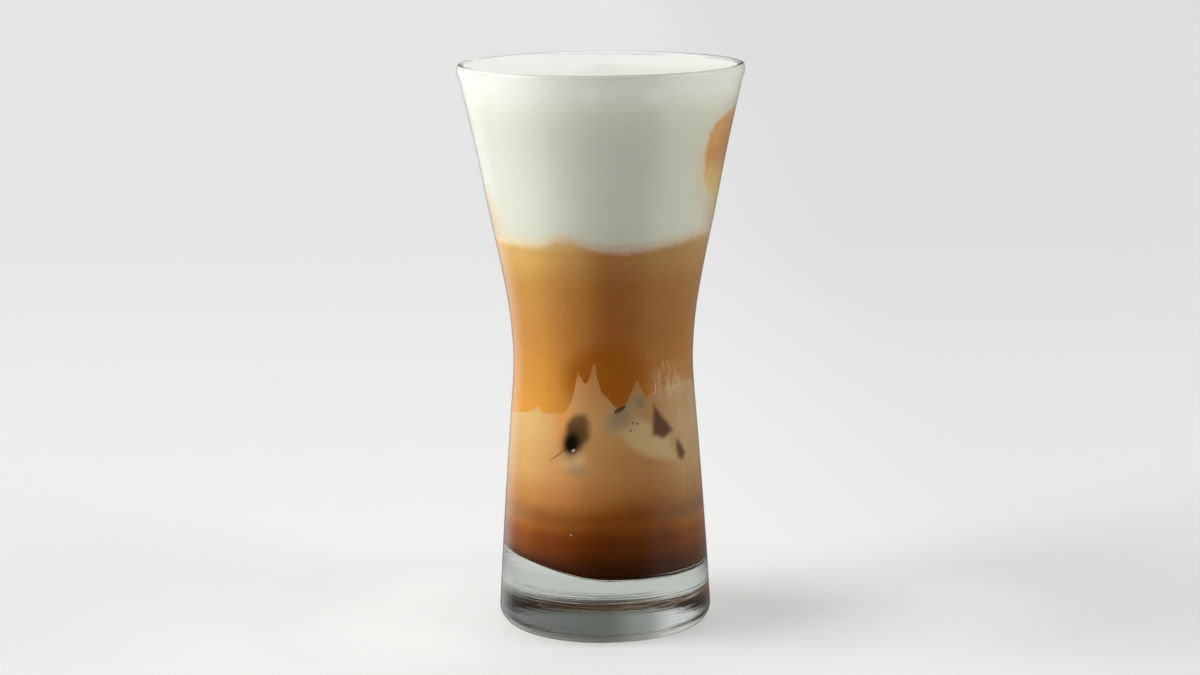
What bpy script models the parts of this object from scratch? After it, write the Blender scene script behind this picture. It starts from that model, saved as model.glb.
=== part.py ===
"""Iced coffee under milk foam, in a waisted tumbler with a thick base.

The tumbler is turned from its measured radii. Four layers fill it: a dark pool on the
slanting floor, a milky layer with a ragged top edge, golden coffee that has splashed up
one side, and the foam. Each layer is a unit drum, fitted between two wavy surfaces and
the wall. Azimuth is 0 at the front (-Y) and grows towards +X.
"""
import math

import bmesh
import bpy
from mathutils import Matrix, Vector

# Tumbler, in metres
HEIGHT = 0.1575
WAIST_HEIGHT = 0.078
WAIST_RADIUS = 0.0251
# Measured radii of the outer wall, as (height, radius)
WALL_STATIONS = (
    (0.0050, 0.02976),
    (0.0203, 0.02884),
    (0.0389, 0.02759),
    (0.0573, 0.02622),
    (0.0710, 0.02518),
    (WAIST_HEIGHT, WAIST_RADIUS),
    (0.0892, 0.02600),
    (0.1027, 0.02831),
    (0.1162, 0.03116),
    (0.1340, 0.03462),
    (0.1517, 0.03852),
)
WALL_RINGS = 12
WAIST_CROWDING = 0.6
HEEL_RADIUS = 0.0050
FOOT_RING_WIDTH = 0.0040
PUNT_DEPTH = 0.0016
BEAD_FOOT = 0.0045
# Outer face of the bead, as (depth below the rim, radius)
BEAD_STATIONS = ((0.0034, 0.0393), (0.0020, 0.0396))
LIP_HALF_HEIGHT = 0.0009
WALL_AT_RIM = 0.0022
WALL_AT_FLOOR = 0.0027

# Slanting inner floor, which rises to a shelf on the -X side
FLOOR_HEIGHT = 0.0175
FLOOR_SLOPE = 0.028
SHELF_RISE = 0.0036
SHELF_RUN = 0.026
FLOOR_FILLET = 0.0022
SLOPE_FADES_BY = 0.046

# Layers: level of each one's top where it meets the wall
POOL_LEVEL = 0.0340
POOL_SWELL = 0.0009
POOL_RIPPLE = 0.0004
MILK_LEVEL = 0.0610
COFFEE_LEVEL = 0.1110
FOAM_LEVEL = 0.1566
FOAM_DOME = 0.0006
FOAM_SWELL = 0.0002
GAP = 0.0003
STEEPEST_GAP = 4.0

# Waves round the wall, as (azimuth, half width, height) in degrees and metres
MILK_MOUNDS = (
    (-75.0, 60.0, 0.0036),
    (-49.0, 13.0, 0.0016),
    (-30.0, 16.0, 0.0020),
    (-12.0, 20.0, 0.0083),
    (2.0, 30.0, 0.0057),
    (23.0, 14.0, 0.0070),
    (62.0, 50.0, 0.0118),
    (180.0, 75.0, 0.0024),
)
MILK_PEAKS = (
    (-17.2, 4.5, 0.0064),
    (-6.2, 5.0, 0.0051),
    (23.0, 5.0, 0.0026),
    *((42.0 + 7.0 * step, 4.5, 0.0018 - 0.0008 * (step % 2)) for step in range(5)),
    *((106.0 + 28.0 * step, 11.0, 0.0040 - 0.0014 * (step % 3)) for step in range(7)),
)
PEAK_SHARPNESS = 1.3
COFFEE_WAVES = (
    (-21.0, 18.0, 0.0022),
    (13.0, 26.0, -0.0013),
    (72.0, 40.0, 0.0019),
    (165.0, 45.0, 0.0012),
)
COFFEE_CLIMB = (-93.0, 17.0, 0.0095)
# How fast a wave dies away from the wall, as a power of the distance from the axis
WALL_ONLY = 6

# Splash of coffee up the wall, on the +X side: a stem that opens into a lobe
SPLASH_AZIMUTH = 82.0
SPLASH_FOOT = 0.1050
SPLASH_WAIST = 0.1170
SPLASH_TOP = 0.1465
SPLASH_DEPTH = 0.0022
SPLASH_EDGE_DEPTH = 0.3 * SPLASH_DEPTH
SPLASH_HALF_WIDTH = 32.0
SPLASH_STEM_HALF_WIDTH = 9.0
SPLASH_TIP_HALF_WIDTH = 3.0
SPLASH_ROWS = 14
SPLASH_COLUMNS = 8
BED_OVERCUT = 0.002

# Mesh detail: steps round the axis, then rings across each face, from the axis out
GLASS_STEPS = 64
LAYER_STEPS = 90
EVEN_RINGS = (0.0, 0.45, 0.8)
EDGE_RINGS = (0.0, 0.55, 0.82, 0.94)
FLAT_RINGS = (0.35, 0.65)
FLOOR_RINGS = (0.0, *FLAT_RINGS, 0.93, 0.965, 0.985)


def smooth_step(value):
    """0 below 0, 1 above 1 and an easy S between."""
    held = min(max(value, 0.0), 1.0)
    return held * held * (3.0 - 2.0 * held)


def outer_radius(height):
    """Radius of the outer wall at a height, eased between the measured stations."""
    stations = WALL_STATIONS
    if height <= stations[0][0]:
        return stations[0][1]
    for index in range(len(stations) - 1):
        (low, start), (high, end) = stations[index], stations[index + 1]
        if height <= high:
            before = stations[max(index - 1, 0)]
            after = stations[min(index + 2, len(stations) - 1)]
            rise_in = (end - before[1]) / (high - before[0]) * (high - low)
            rise_out = (after[1] - start) / (after[0] - low) * (high - low)
            t = (height - low) / (high - low)
            bulge_in = t * (1.0 - t) ** 2 * (rise_in - (end - start))
            bulge_out = t * t * (t - 1.0) * (rise_out - (end - start))
            return start + (end - start) * t + bulge_in + bulge_out
    slope = (stations[-1][1] - stations[-2][1]) / (stations[-1][0] - stations[-2][0])
    return stations[-1][1] + slope * (height - stations[-1][0])


def inner_radius(height):
    """Radius of the inner wall, which thins towards the rim."""
    share = (height - FLOOR_HEIGHT) / (HEIGHT - FLOOR_HEIGHT)
    return outer_radius(height) - (WALL_AT_FLOOR + (WALL_AT_RIM - WALL_AT_FLOOR) * share)


def floor_reach():
    """Radius of the drink where it stands on the fillet of the floor."""
    return inner_radius(FLOOR_HEIGHT + FLOOR_FILLET) - GAP


def arc(centre, radius, start, end, steps):
    """Points of an arc in the profile plane, with its angles in degrees."""
    points = []
    for step in range(steps + 1):
        angle = math.radians(start + (end - start) * step / steps)
        points.append((centre[0] + radius * math.cos(angle), centre[1] + radius * math.sin(angle)))
    return points


def heel_profile():
    """Flat ring that the glass stands on, and the rounded heel round it."""
    heel_centre = outer_radius(HEEL_RADIUS) - HEEL_RADIUS
    punt_edge = heel_centre - FOOT_RING_WIDTH
    return [
        (0.0, PUNT_DEPTH),
        (punt_edge * 0.75, PUNT_DEPTH * 0.8),
        (punt_edge, 0.0),
        *arc((heel_centre, HEEL_RADIUS), HEEL_RADIUS, -90.0, 0.0, 5),
    ]


def lip_profile():
    """Bead with an upright face, rounded over the rim to the inner wall."""
    height = HEIGHT - LIP_HALF_HEIGHT
    outer = BEAD_STATIONS[-1][1]
    half_width = (outer - inner_radius(height)) / 2.0
    rounding = []
    for across, up in arc((0.0, 0.0), 1.0, 0.0, 180.0, 6):
        rounding.append((outer + (across - 1.0) * half_width, height + up * LIP_HALF_HEIGHT))
    return [(radius, HEIGHT - depth) for depth, radius in BEAD_STATIONS] + rounding


def tumbler_profile():
    """Closed section from the axis under the base, up the outside and down the inside."""
    wall_foot = HEEL_RADIUS
    wall_head = HEIGHT - BEAD_FOOT
    heights = []
    for ring in range(WALL_RINGS + 1):
        even = ring / WALL_RINGS
        closer = even + WAIST_CROWDING * math.sin(math.tau * even) / math.tau
        heights.append(wall_foot + (wall_head - wall_foot) * closer)
    fillet_height = FLOOR_HEIGHT + FLOOR_FILLET
    fillet_centre = (inner_radius(fillet_height) - FLOOR_FILLET, fillet_height)
    inside = [h for h in reversed(heights) if h > fillet_height + FLOOR_FILLET]
    return [
        *heel_profile(),
        *[(outer_radius(h), h) for h in heights[1:]],
        *lip_profile(),
        *[(inner_radius(h), h) for h in inside],
        *arc(fillet_centre, FLOOR_FILLET, 0.0, -90.0, 3),
        *[(share * floor_reach(), FLOOR_HEIGHT) for share in reversed(FLAT_RINGS)],
        (0.0, FLOOR_HEIGHT),
    ]


def spin_profile(points, steps):
    """Bmesh of a section turned about Z, its ends closed on the axis."""
    mesh = bmesh.new()
    verts = [mesh.verts.new((r, 0.0, h)) for r, h in points]
    edges = [mesh.edges.new(pair) for pair in zip(verts, verts[1:])]
    bmesh.ops.spin(
        mesh, geom=verts + edges, cent=(0.0, 0.0, 0.0), axis=(0.0, 0.0, 1.0),
        angle=math.tau, steps=steps, use_merge=True, use_duplicate=False,
    )
    bmesh.ops.remove_doubles(mesh, verts=mesh.verts, dist=1e-6)
    return mesh


def floor_lift(x, height):
    """How far the slant of the floor lifts the inside at a place, fading up the wall."""
    fade = 1.0 - smooth_step((height - FLOOR_HEIGHT) / (SLOPE_FADES_BY - FLOOR_HEIGHT))
    return fade * (SHELF_RISE * smooth_step(-x / SHELF_RUN) - x * FLOOR_SLOPE)


def slant_floor(mesh):
    """Tips the turned hollow's floor over and keeps its wall on the inner radius."""
    for vert in mesh.verts:
        radius = math.hypot(vert.co.x, vert.co.y)
        height = vert.co.z
        inside = FLOOR_HEIGHT - 1e-6 < height < SLOPE_FADES_BY
        if not inside or radius > inner_radius(height) + 1e-5:
            continue
        new_height = height + floor_lift(vert.co.x, height)
        scale = inner_radius(new_height) / inner_radius(height)
        vert.co = Vector((vert.co.x * scale, vert.co.y * scale, new_height))


def bump(azimuth, centre, half_width):
    """1 on an azimuth and 0 past its half width, with a round top."""
    away = abs((azimuth - centre + 180.0) % 360.0 - 180.0)
    return 0.5 + 0.5 * math.cos(math.pi * min(away / half_width, 1.0))


def peak(azimuth, centre, half_width):
    """1 on an azimuth and 0 past its half width, with a sharp tip."""
    away = abs((azimuth - centre + 180.0) % 360.0 - 180.0)
    return max(0.0, 1.0 - away / half_width) ** PEAK_SHARPNESS


def total(shape, waves, azimuth):
    """Sum of waves of one shape at an azimuth."""
    return sum(height * shape(azimuth, centre, half_width) for centre, half_width, height in waves)


def floor_surface(azimuth, share):
    """Underside of the pool: the slanting floor with its fillet, one gap above the glass."""
    fillet = FLOOR_FILLET - GAP
    reach = floor_reach()
    radius = share * reach
    height = FLOOR_HEIGHT + GAP
    into = radius - (reach - fillet)
    if into > 0.0:
        height += fillet - math.sqrt(max(fillet * fillet - into * into, 0.0))
    return height + floor_lift(radius * math.sin(math.radians(azimuth)), FLOOR_HEIGHT)


def pool_surface(azimuth, share):
    """Top of the dark pool: low rolling waves."""
    swell = POOL_SWELL * math.sin(math.radians(2.0 * azimuth + 40.0))
    ripple = POOL_RIPPLE * math.sin(math.radians(5.0 * azimuth))
    return POOL_LEVEL + share * (swell + ripple)


def milk_surface(azimuth, share):
    """Top of the milky layer: a ragged edge of licking peaks that only the wall shows."""
    edge = total(bump, MILK_MOUNDS, azimuth) + total(peak, MILK_PEAKS, azimuth)
    return MILK_LEVEL + edge * share ** WALL_ONLY


def coffee_surface(azimuth, share):
    """Top of the coffee: a wave under the foam that climbs the wall on the -X side."""
    wave = total(bump, COFFEE_WAVES, azimuth)
    climb = total(bump, (COFFEE_CLIMB,), azimuth)
    return COFFEE_LEVEL + wave * share + climb * share ** WALL_ONLY


def foam_surface(azimuth, share):
    """Top of the foam: low swells, all but level with the rim."""
    angle = math.radians(azimuth)
    swell = math.sin(2.0 * angle + 0.6) + 0.75 * math.sin(3.0 * angle + 2.0)
    return FOAM_LEVEL + FOAM_DOME * (1.0 - share ** 2) + FOAM_SWELL * swell * share ** 2


def raised(surface):
    """The same surface one gap away, for the layer that lies on it, so higher where it is steep."""
    step, turn = 0.02, 1.5

    def lifted(azimuth, share):
        here = surface(azimuth, share)
        inwards = (here - surface(azimuth, share - step)) / (step * WAIST_RADIUS)
        sweep = 2.0 * math.radians(turn) * WAIST_RADIUS
        along = (surface(azimuth + turn, share) - surface(azimuth - turn, share)) / sweep
        return here + GAP * min(math.sqrt(1.0 + inwards ** 2 + along ** 2), STEEPEST_GAP)

    return lifted


def drum_profile(top_rings, bottom_rings, side_rings):
    """Section of a drum of radius 1 and height 1, from the axis below to the axis above."""
    bottom = [(share, 0.0) for share in bottom_rings]
    side = [(1.0, i / side_rings) for i in range(side_rings + 1)]
    top = [(share, 1.0) for share in reversed(top_rings)]
    return bottom + side + top


def split_alike(mesh):
    """Splits a unit drum's faces along diagonals that run the same way above and below.

    A slight twist makes that diagonal the shorter one, so two layers that meet at a steep
    surface stay one gap apart.
    """
    for turn in (math.radians(0.5), -math.radians(0.5)):
        for vert in mesh.verts:
            vert.co = Matrix.Rotation(turn * vert.co.xy.length, 3, "Z") @ vert.co
        if turn > 0.0:
            bmesh.ops.triangulate(mesh, faces=mesh.faces, quad_method="SHORT_EDGE")


def build_layer(name, under, over, rings, material):
    """One layer of the drink: a unit drum fitted between two surfaces and the wall."""
    mesh = spin_profile(drum_profile(*rings), LAYER_STEPS)
    split_alike(mesh)
    for vert in mesh.verts:
        share = math.hypot(vert.co.x, vert.co.y)
        angle = math.atan2(vert.co.x, -vert.co.y)
        azimuth = math.degrees(angle)
        low, high = under(azimuth, share), over(azimuth, share)
        height = low + (high - low) * vert.co.z
        radius = share * (inner_radius(max(height, FLOOR_HEIGHT + FLOOR_FILLET)) - GAP)
        vert.co = Vector((radius * math.sin(angle), -radius * math.cos(angle), height))
    return add_object(name, mesh, material)


def splash_half_width(height):
    """Half width of the splash in degrees at a height."""
    if height < SPLASH_WAIST:
        return SPLASH_STEM_HALF_WIDTH
    share = (height - SPLASH_WAIST) / (SPLASH_TOP - SPLASH_WAIST)
    lobe = SPLASH_HALF_WIDTH * math.sqrt(max(0.0, 1.0 - (2.0 * share - 1.0) ** 2))
    stem = SPLASH_STEM_HALF_WIDTH * (1.0 - share) ** 2
    return max(stem, lobe, SPLASH_TIP_HALF_WIDTH)


def splash_loop(height, margin, outward):
    """Points round the splash at a height: its outside left to right, then its inside back."""
    wall = inner_radius(height) - GAP
    half = splash_half_width(min(height, SPLASH_TOP)) + math.degrees(margin / wall)
    points = []
    for side in (1.0, -1.0):
        for column in range(SPLASH_COLUMNS + 1):
            across = side * (2.0 * column / SPLASH_COLUMNS - 1.0)
            swell = math.sqrt(1.0 - across * across)
            depth = SPLASH_EDGE_DEPTH + (SPLASH_DEPTH - SPLASH_EDGE_DEPTH) * swell + margin
            radius = wall + outward if side > 0.0 else wall - depth
            angle = math.radians(SPLASH_AZIMUTH + across * half)
            points.append((radius * math.sin(angle), -radius * math.cos(angle), height))
    return points


def splash_mesh(margin, outward):
    """Skin of coffee against the wall, grown by a margin, its outside moved outward."""
    mesh = bmesh.new()
    loops = []
    for row in range(SPLASH_ROWS + 1):
        height = SPLASH_FOOT + (SPLASH_TOP + margin - SPLASH_FOOT) * row / SPLASH_ROWS
        loops.append([mesh.verts.new(point) for point in splash_loop(height, margin, outward)])
    for low, high in zip(loops, loops[1:]):
        for i in range(len(low)):
            j = (i + 1) % len(low)
            mesh.faces.new((low[i], low[j], high[j], high[i]))
    for loop in (loops[0], loops[-1]):
        mesh.faces.new(loop)
    return mesh


def add_splash(coffee, foam):
    """Joins the splash to the coffee and cuts its bed, one gap wider, out of the foam."""
    splash = add_object("splash_shape", splash_mesh(0.0, 0.0), None)
    bed = add_object("splash_bed", splash_mesh(GAP, BED_OVERCUT), None)
    for target, tool, operation in ((coffee, splash, "UNION"), (foam, bed, "DIFFERENCE")):
        tool.hide_render = True
        tool.display_type = "WIRE"
        cut = target.modifiers.new("splash", "BOOLEAN")
        cut.object = tool
        cut.operation = operation
        cut.solver = "EXACT"


def add_object(name, mesh, material):
    """Object made from a bmesh, its faces turned outwards and shaded smooth."""
    bmesh.ops.recalc_face_normals(mesh, faces=mesh.faces)
    data = bpy.data.meshes.new(name)
    mesh.to_mesh(data)
    mesh.free()
    if material:
        data.materials.append(material)
    data.shade_smooth()
    data.set_sharp_from_angle(angle=math.radians(40.0))
    obj = bpy.data.objects.new(name, data)
    bpy.context.collection.objects.link(obj)
    return obj


def make_material(name, colour, roughness, transmission=0.0):
    """Principled material with a linear colour."""
    material = bpy.data.materials.new(name)
    material.use_nodes = True
    shader = material.node_tree.nodes["Principled BSDF"]
    shader.inputs["Base Color"].default_value = (*colour, 1.0)
    shader.inputs["Roughness"].default_value = roughness
    shader.inputs["Metallic"].default_value = 0.0
    shader.inputs["Transmission Weight"].default_value = transmission
    return material


def build_tumbler():
    """Waisted glass with a beaded rim, a thick base and a slanting inner floor."""
    mesh = spin_profile(tumbler_profile(), GLASS_STEPS)
    slant_floor(mesh)
    return add_object("tumbler", mesh, make_material("clear_glass", (0.86, 0.90, 0.87), 0.05, 1.0))


def build_drink():
    """The four layers, from the floor of the glass to the foam."""
    build_layer(
        "dark_pool", floor_surface, pool_surface, (EVEN_RINGS, FLOOR_RINGS, 4),
        make_material("dark_coffee", (0.055, 0.020, 0.008), 0.3),
    )
    build_layer(
        "milky_layer", raised(pool_surface), milk_surface, (EDGE_RINGS, EVEN_RINGS, 5),
        make_material("milky_coffee", (0.47, 0.26, 0.13), 0.35),
    )
    coffee = build_layer(
        "golden_coffee", raised(milk_surface), coffee_surface, (EDGE_RINGS, EDGE_RINGS, 6),
        make_material("golden_coffee", (0.40, 0.19, 0.06), 0.35),
    )
    foam = build_layer(
        "milk_foam", raised(coffee_surface), foam_surface, (EVEN_RINGS, EDGE_RINGS, 6),
        make_material("milk_foam", (0.90, 0.89, 0.84), 0.7),
    )
    add_splash(coffee, foam)


def main():
    """Clears the scene and builds the filled glass, standing on the origin."""
    for old in list(bpy.data.objects):
        bpy.data.objects.remove(old, do_unlink=True)
    build_tumbler()
    build_drink()


main()
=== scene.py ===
import logging
import math
from collections.abc import Callable, Sequence
from dataclasses import dataclass, field
from enum import Enum

import bpy
import numpy as np
from mathutils import Matrix, Vector

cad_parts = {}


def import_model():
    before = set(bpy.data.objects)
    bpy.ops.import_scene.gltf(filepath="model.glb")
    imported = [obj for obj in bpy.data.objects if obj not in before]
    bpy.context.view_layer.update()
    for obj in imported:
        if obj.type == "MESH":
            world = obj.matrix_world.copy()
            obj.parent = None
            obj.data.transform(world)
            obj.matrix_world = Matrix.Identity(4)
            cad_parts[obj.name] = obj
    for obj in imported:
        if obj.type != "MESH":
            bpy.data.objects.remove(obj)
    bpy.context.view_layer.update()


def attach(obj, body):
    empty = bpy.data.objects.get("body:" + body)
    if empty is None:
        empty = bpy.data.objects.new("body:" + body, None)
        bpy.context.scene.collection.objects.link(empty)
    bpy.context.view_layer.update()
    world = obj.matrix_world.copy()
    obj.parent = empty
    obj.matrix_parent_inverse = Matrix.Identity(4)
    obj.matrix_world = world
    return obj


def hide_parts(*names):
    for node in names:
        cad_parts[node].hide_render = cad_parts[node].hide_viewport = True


log = logging.getLogger("drink")

BODY = "root"
# Heights in the finishes are counted from this level on the heel, in mm above the table
HEEL_LEVEL = 1.0

Colour = tuple[float, float, float]
Point = tuple[float, float]
Wave = tuple[float, float, float]
Heights = np.ndarray
Surface = Callable[[np.ndarray, np.ndarray], Heights]
Stops = tuple[tuple[float, Colour], ...]


class Slot(Enum):
    """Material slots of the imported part."""

    GLASS = "clear_glass"
    POOL = "dark_coffee"
    MILK = "milky_coffee"
    COFFEE = "golden_coffee"
    FOAM = "milk_foam"


@dataclass(frozen=True)
class TumblerShape:
    """Sizes of the waisted glass, in metres, as the solid part has them."""

    height: float = 0.1575
    stations: tuple[Point, ...] = (
        (0.0050, 0.02976),
        (0.0203, 0.02884),
        (0.0389, 0.02759),
        (0.0573, 0.02622),
        (0.0710, 0.02518),
        (0.0780, 0.02510),
        (0.0892, 0.02600),
        (0.1027, 0.02831),
        (0.1162, 0.03116),
        (0.1340, 0.03462),
        (0.1517, 0.03852),
    )
    heel: float = 0.0050
    foot_ring: float = 0.0040
    punt: float = 0.0016
    bead_foot: float = 0.0045
    bead_radius: float = 0.0396
    bead_swell: float = 0.00026
    lip_half_height: float = 0.0009
    wall_at_rim: float = 0.0022
    wall_at_floor: float = 0.0027
    floor: float = 0.0175
    slope: float = 0.028
    shelf_rise: float = 0.0036
    shelf_run: float = 0.026
    fillet: float = 0.0022
    slope_fades_by: float = 0.046
    table_rows: int = 1200

    def outer(self, height: float) -> float:
        """Radius of the outer wall, eased between the measured stations.

        Args:
            height: height above the table, in metres.

        Returns:
            The radius in metres.
        """
        places = self.stations
        if height <= places[0][0]:
            return places[0][1]
        for index in range(len(places) - 1):
            (low, start), (high, end) = places[index], places[index + 1]
            if height <= high:
                before = places[max(index - 1, 0)]
                after = places[min(index + 2, len(places) - 1)]
                rise_in = (end - before[1]) / (high - before[0]) * (high - low)
                rise_out = (after[1] - start) / (after[0] - low) * (high - low)
                t = (height - low) / (high - low)
                bulge_in = t * (1.0 - t) ** 2 * (rise_in - (end - start))
                bulge_out = t * t * (t - 1.0) * (rise_out - (end - start))
                return start + (end - start) * t + bulge_in + bulge_out
        slope = (places[-1][1] - places[-2][1]) / (places[-1][0] - places[-2][0])
        return places[-1][1] + slope * (height - places[-1][0])

    def inner(self, height: float) -> float:
        """Radius of the inner wall, which thins towards the rim.

        Args:
            height: height above the table, in metres.

        Returns:
            The radius in metres.
        """
        share = (height - self.floor) / (self.height - self.floor)
        return self.outer(height) - (self.wall_at_floor + (self.wall_at_rim - self.wall_at_floor) * share)

    def inner_of(self, heights: np.ndarray) -> np.ndarray:
        """Inner radii at many heights, read from a fine table of the wall.

        Args:
            heights: heights above the table, in metres.

        Returns:
            The radii in metres.
        """
        table = np.linspace(0.0, self.height, self.table_rows)
        return np.interp(heights, table, [self.inner(float(h)) for h in table])

    def lift(self, x: np.ndarray, heights: np.ndarray) -> np.ndarray:
        """How far the floor's slant and its shelf lift the inside, fading up the wall.

        Args:
            x: places across the glass, in metres.
            heights: heights above the table, in metres.

        Returns:
            The lifts in metres.
        """
        share = np.clip((heights - self.floor) / (self.slope_fades_by - self.floor), 0.0, 1.0)
        onto = np.clip(-x / self.shelf_run, 0.0, 1.0)
        shelf = self.shelf_rise * onto * onto * (3.0 - 2.0 * onto)
        return (shelf - x * self.slope) * (1.0 - share * share * (3.0 - 2.0 * share))


@dataclass(frozen=True)
class DrinkSurfaces:
    """The wavy surfaces between the layers, as heights over azimuth and share of the radius.

    Azimuth is 0 at the front (-Y) and grows towards +X, in degrees. The share is 0 on the
    axis and 1 at the wall.
    """

    shape: TumblerShape
    pool_level: float = 0.0340
    milk_level: float = 0.0610
    coffee_level: float = 0.1110
    foam_level: float = 0.1566
    pool_swell: float = 0.0009
    pool_ripple: float = 0.0004
    milk_fray: float = 0.0004
    foam_dome: float = 0.0006
    foam_swell: float = 0.0002
    wall_only: int = 6
    milk_mounds: tuple[Wave, ...] = (
        (-75.0, 60.0, 0.0036),
        (-49.0, 13.0, 0.0016),
        (-30.0, 16.0, 0.0020),
        (-12.0, 20.0, 0.0083),
        (2.0, 30.0, 0.0057),
        (23.0, 14.0, 0.0070),
        (62.0, 50.0, 0.0118),
        (180.0, 75.0, 0.0024),
    )
    milk_peaks: tuple[Wave, ...] = (
        (-17.2, 4.5, 0.0064),
        (-6.2, 5.0, 0.0051),
        (23.0, 5.0, 0.0026),
        *((42.0 + 7.0 * step, 4.5, 0.0018 - 0.0008 * (step % 2)) for step in range(5)),
        *((106.0 + 28.0 * step, 11.0, 0.0040 - 0.0014 * (step % 3)) for step in range(7)),
    )
    coffee_waves: tuple[Wave, ...] = (
        (-21.0, 18.0, 0.0022),
        (13.0, 26.0, -0.0013),
        (72.0, 40.0, 0.0019),
        (165.0, 45.0, 0.0012),
    )
    coffee_climb: Wave = (-93.0, 17.0, 0.0095)

    @staticmethod
    def away(azimuth: np.ndarray, centre: float) -> np.ndarray:
        """Angle between azimuths and a centre, from 0 to 180 degrees."""
        return np.abs((azimuth - centre + 180.0) % 360.0 - 180.0)

    def mounds(self, waves: Sequence[Wave], azimuth: np.ndarray) -> np.ndarray:
        """Sum of round-topped waves at each azimuth."""
        total = np.zeros_like(azimuth)
        for centre, half_width, height in waves:
            share = np.minimum(self.away(azimuth, centre) / half_width, 1.0)
            total += height * (0.5 + 0.5 * np.cos(np.pi * share))
        return total

    def peaks(self, waves: Sequence[Wave], azimuth: np.ndarray) -> np.ndarray:
        """Sum of sharp-tipped waves at each azimuth."""
        total = np.zeros_like(azimuth)
        for centre, half_width, height in waves:
            total += height * np.maximum(0.0, 1.0 - self.away(azimuth, centre) / half_width) ** 1.3
        return total

    def floor(self, azimuth: np.ndarray, share: np.ndarray) -> Heights:
        """Slanting floor of the glass with its fillet."""
        shape = self.shape
        reach = shape.inner(shape.floor + shape.fillet)
        radius = share * reach
        into = np.maximum(radius - (reach - shape.fillet), 0.0)
        curl = shape.fillet - np.sqrt(np.maximum(shape.fillet**2 - into**2, 0.0))
        level = np.full_like(radius, shape.floor)
        return level + curl + shape.lift(radius * np.sin(np.radians(azimuth)), level)

    def pool(self, azimuth: np.ndarray, share: np.ndarray) -> Heights:
        """Top of the dark pool: low rolling waves."""
        swell = self.pool_swell * np.sin(np.radians(2.0 * azimuth + 40.0))
        ripple = self.pool_ripple * np.sin(np.radians(5.0 * azimuth))
        return self.pool_level + share * (swell + ripple)

    def milk(self, azimuth: np.ndarray, share: np.ndarray) -> Heights:
        """Top of the milky layer: licking peaks that only the wall shows."""
        edge = self.mounds(self.milk_mounds, azimuth) + self.peaks(self.milk_peaks, azimuth)
        beat = np.sin(np.radians(31.0 * azimuth)) * np.sin(np.radians(11.0 * azimuth + 50.0))
        fray = self.milk_fray * beat
        return self.milk_level + (edge + fray) * share**self.wall_only

    def coffee(self, azimuth: np.ndarray, share: np.ndarray) -> Heights:
        """Top of the coffee: a wave under the foam that climbs the wall on the -X side."""
        climb = self.mounds((self.coffee_climb,), azimuth)
        wave = self.mounds(self.coffee_waves, azimuth)
        return self.coffee_level + wave * share + climb * share**self.wall_only

    def foam(self, azimuth: np.ndarray, share: np.ndarray) -> Heights:
        """Top of the foam: low swells, all but level with the rim."""
        angle = np.radians(azimuth)
        swell = np.sin(2.0 * angle + 0.6) + 0.75 * np.sin(3.0 * angle + 2.0)
        return self.foam_level + self.foam_dome * (1.0 - share**2) + self.foam_swell * swell * share**2


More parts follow.
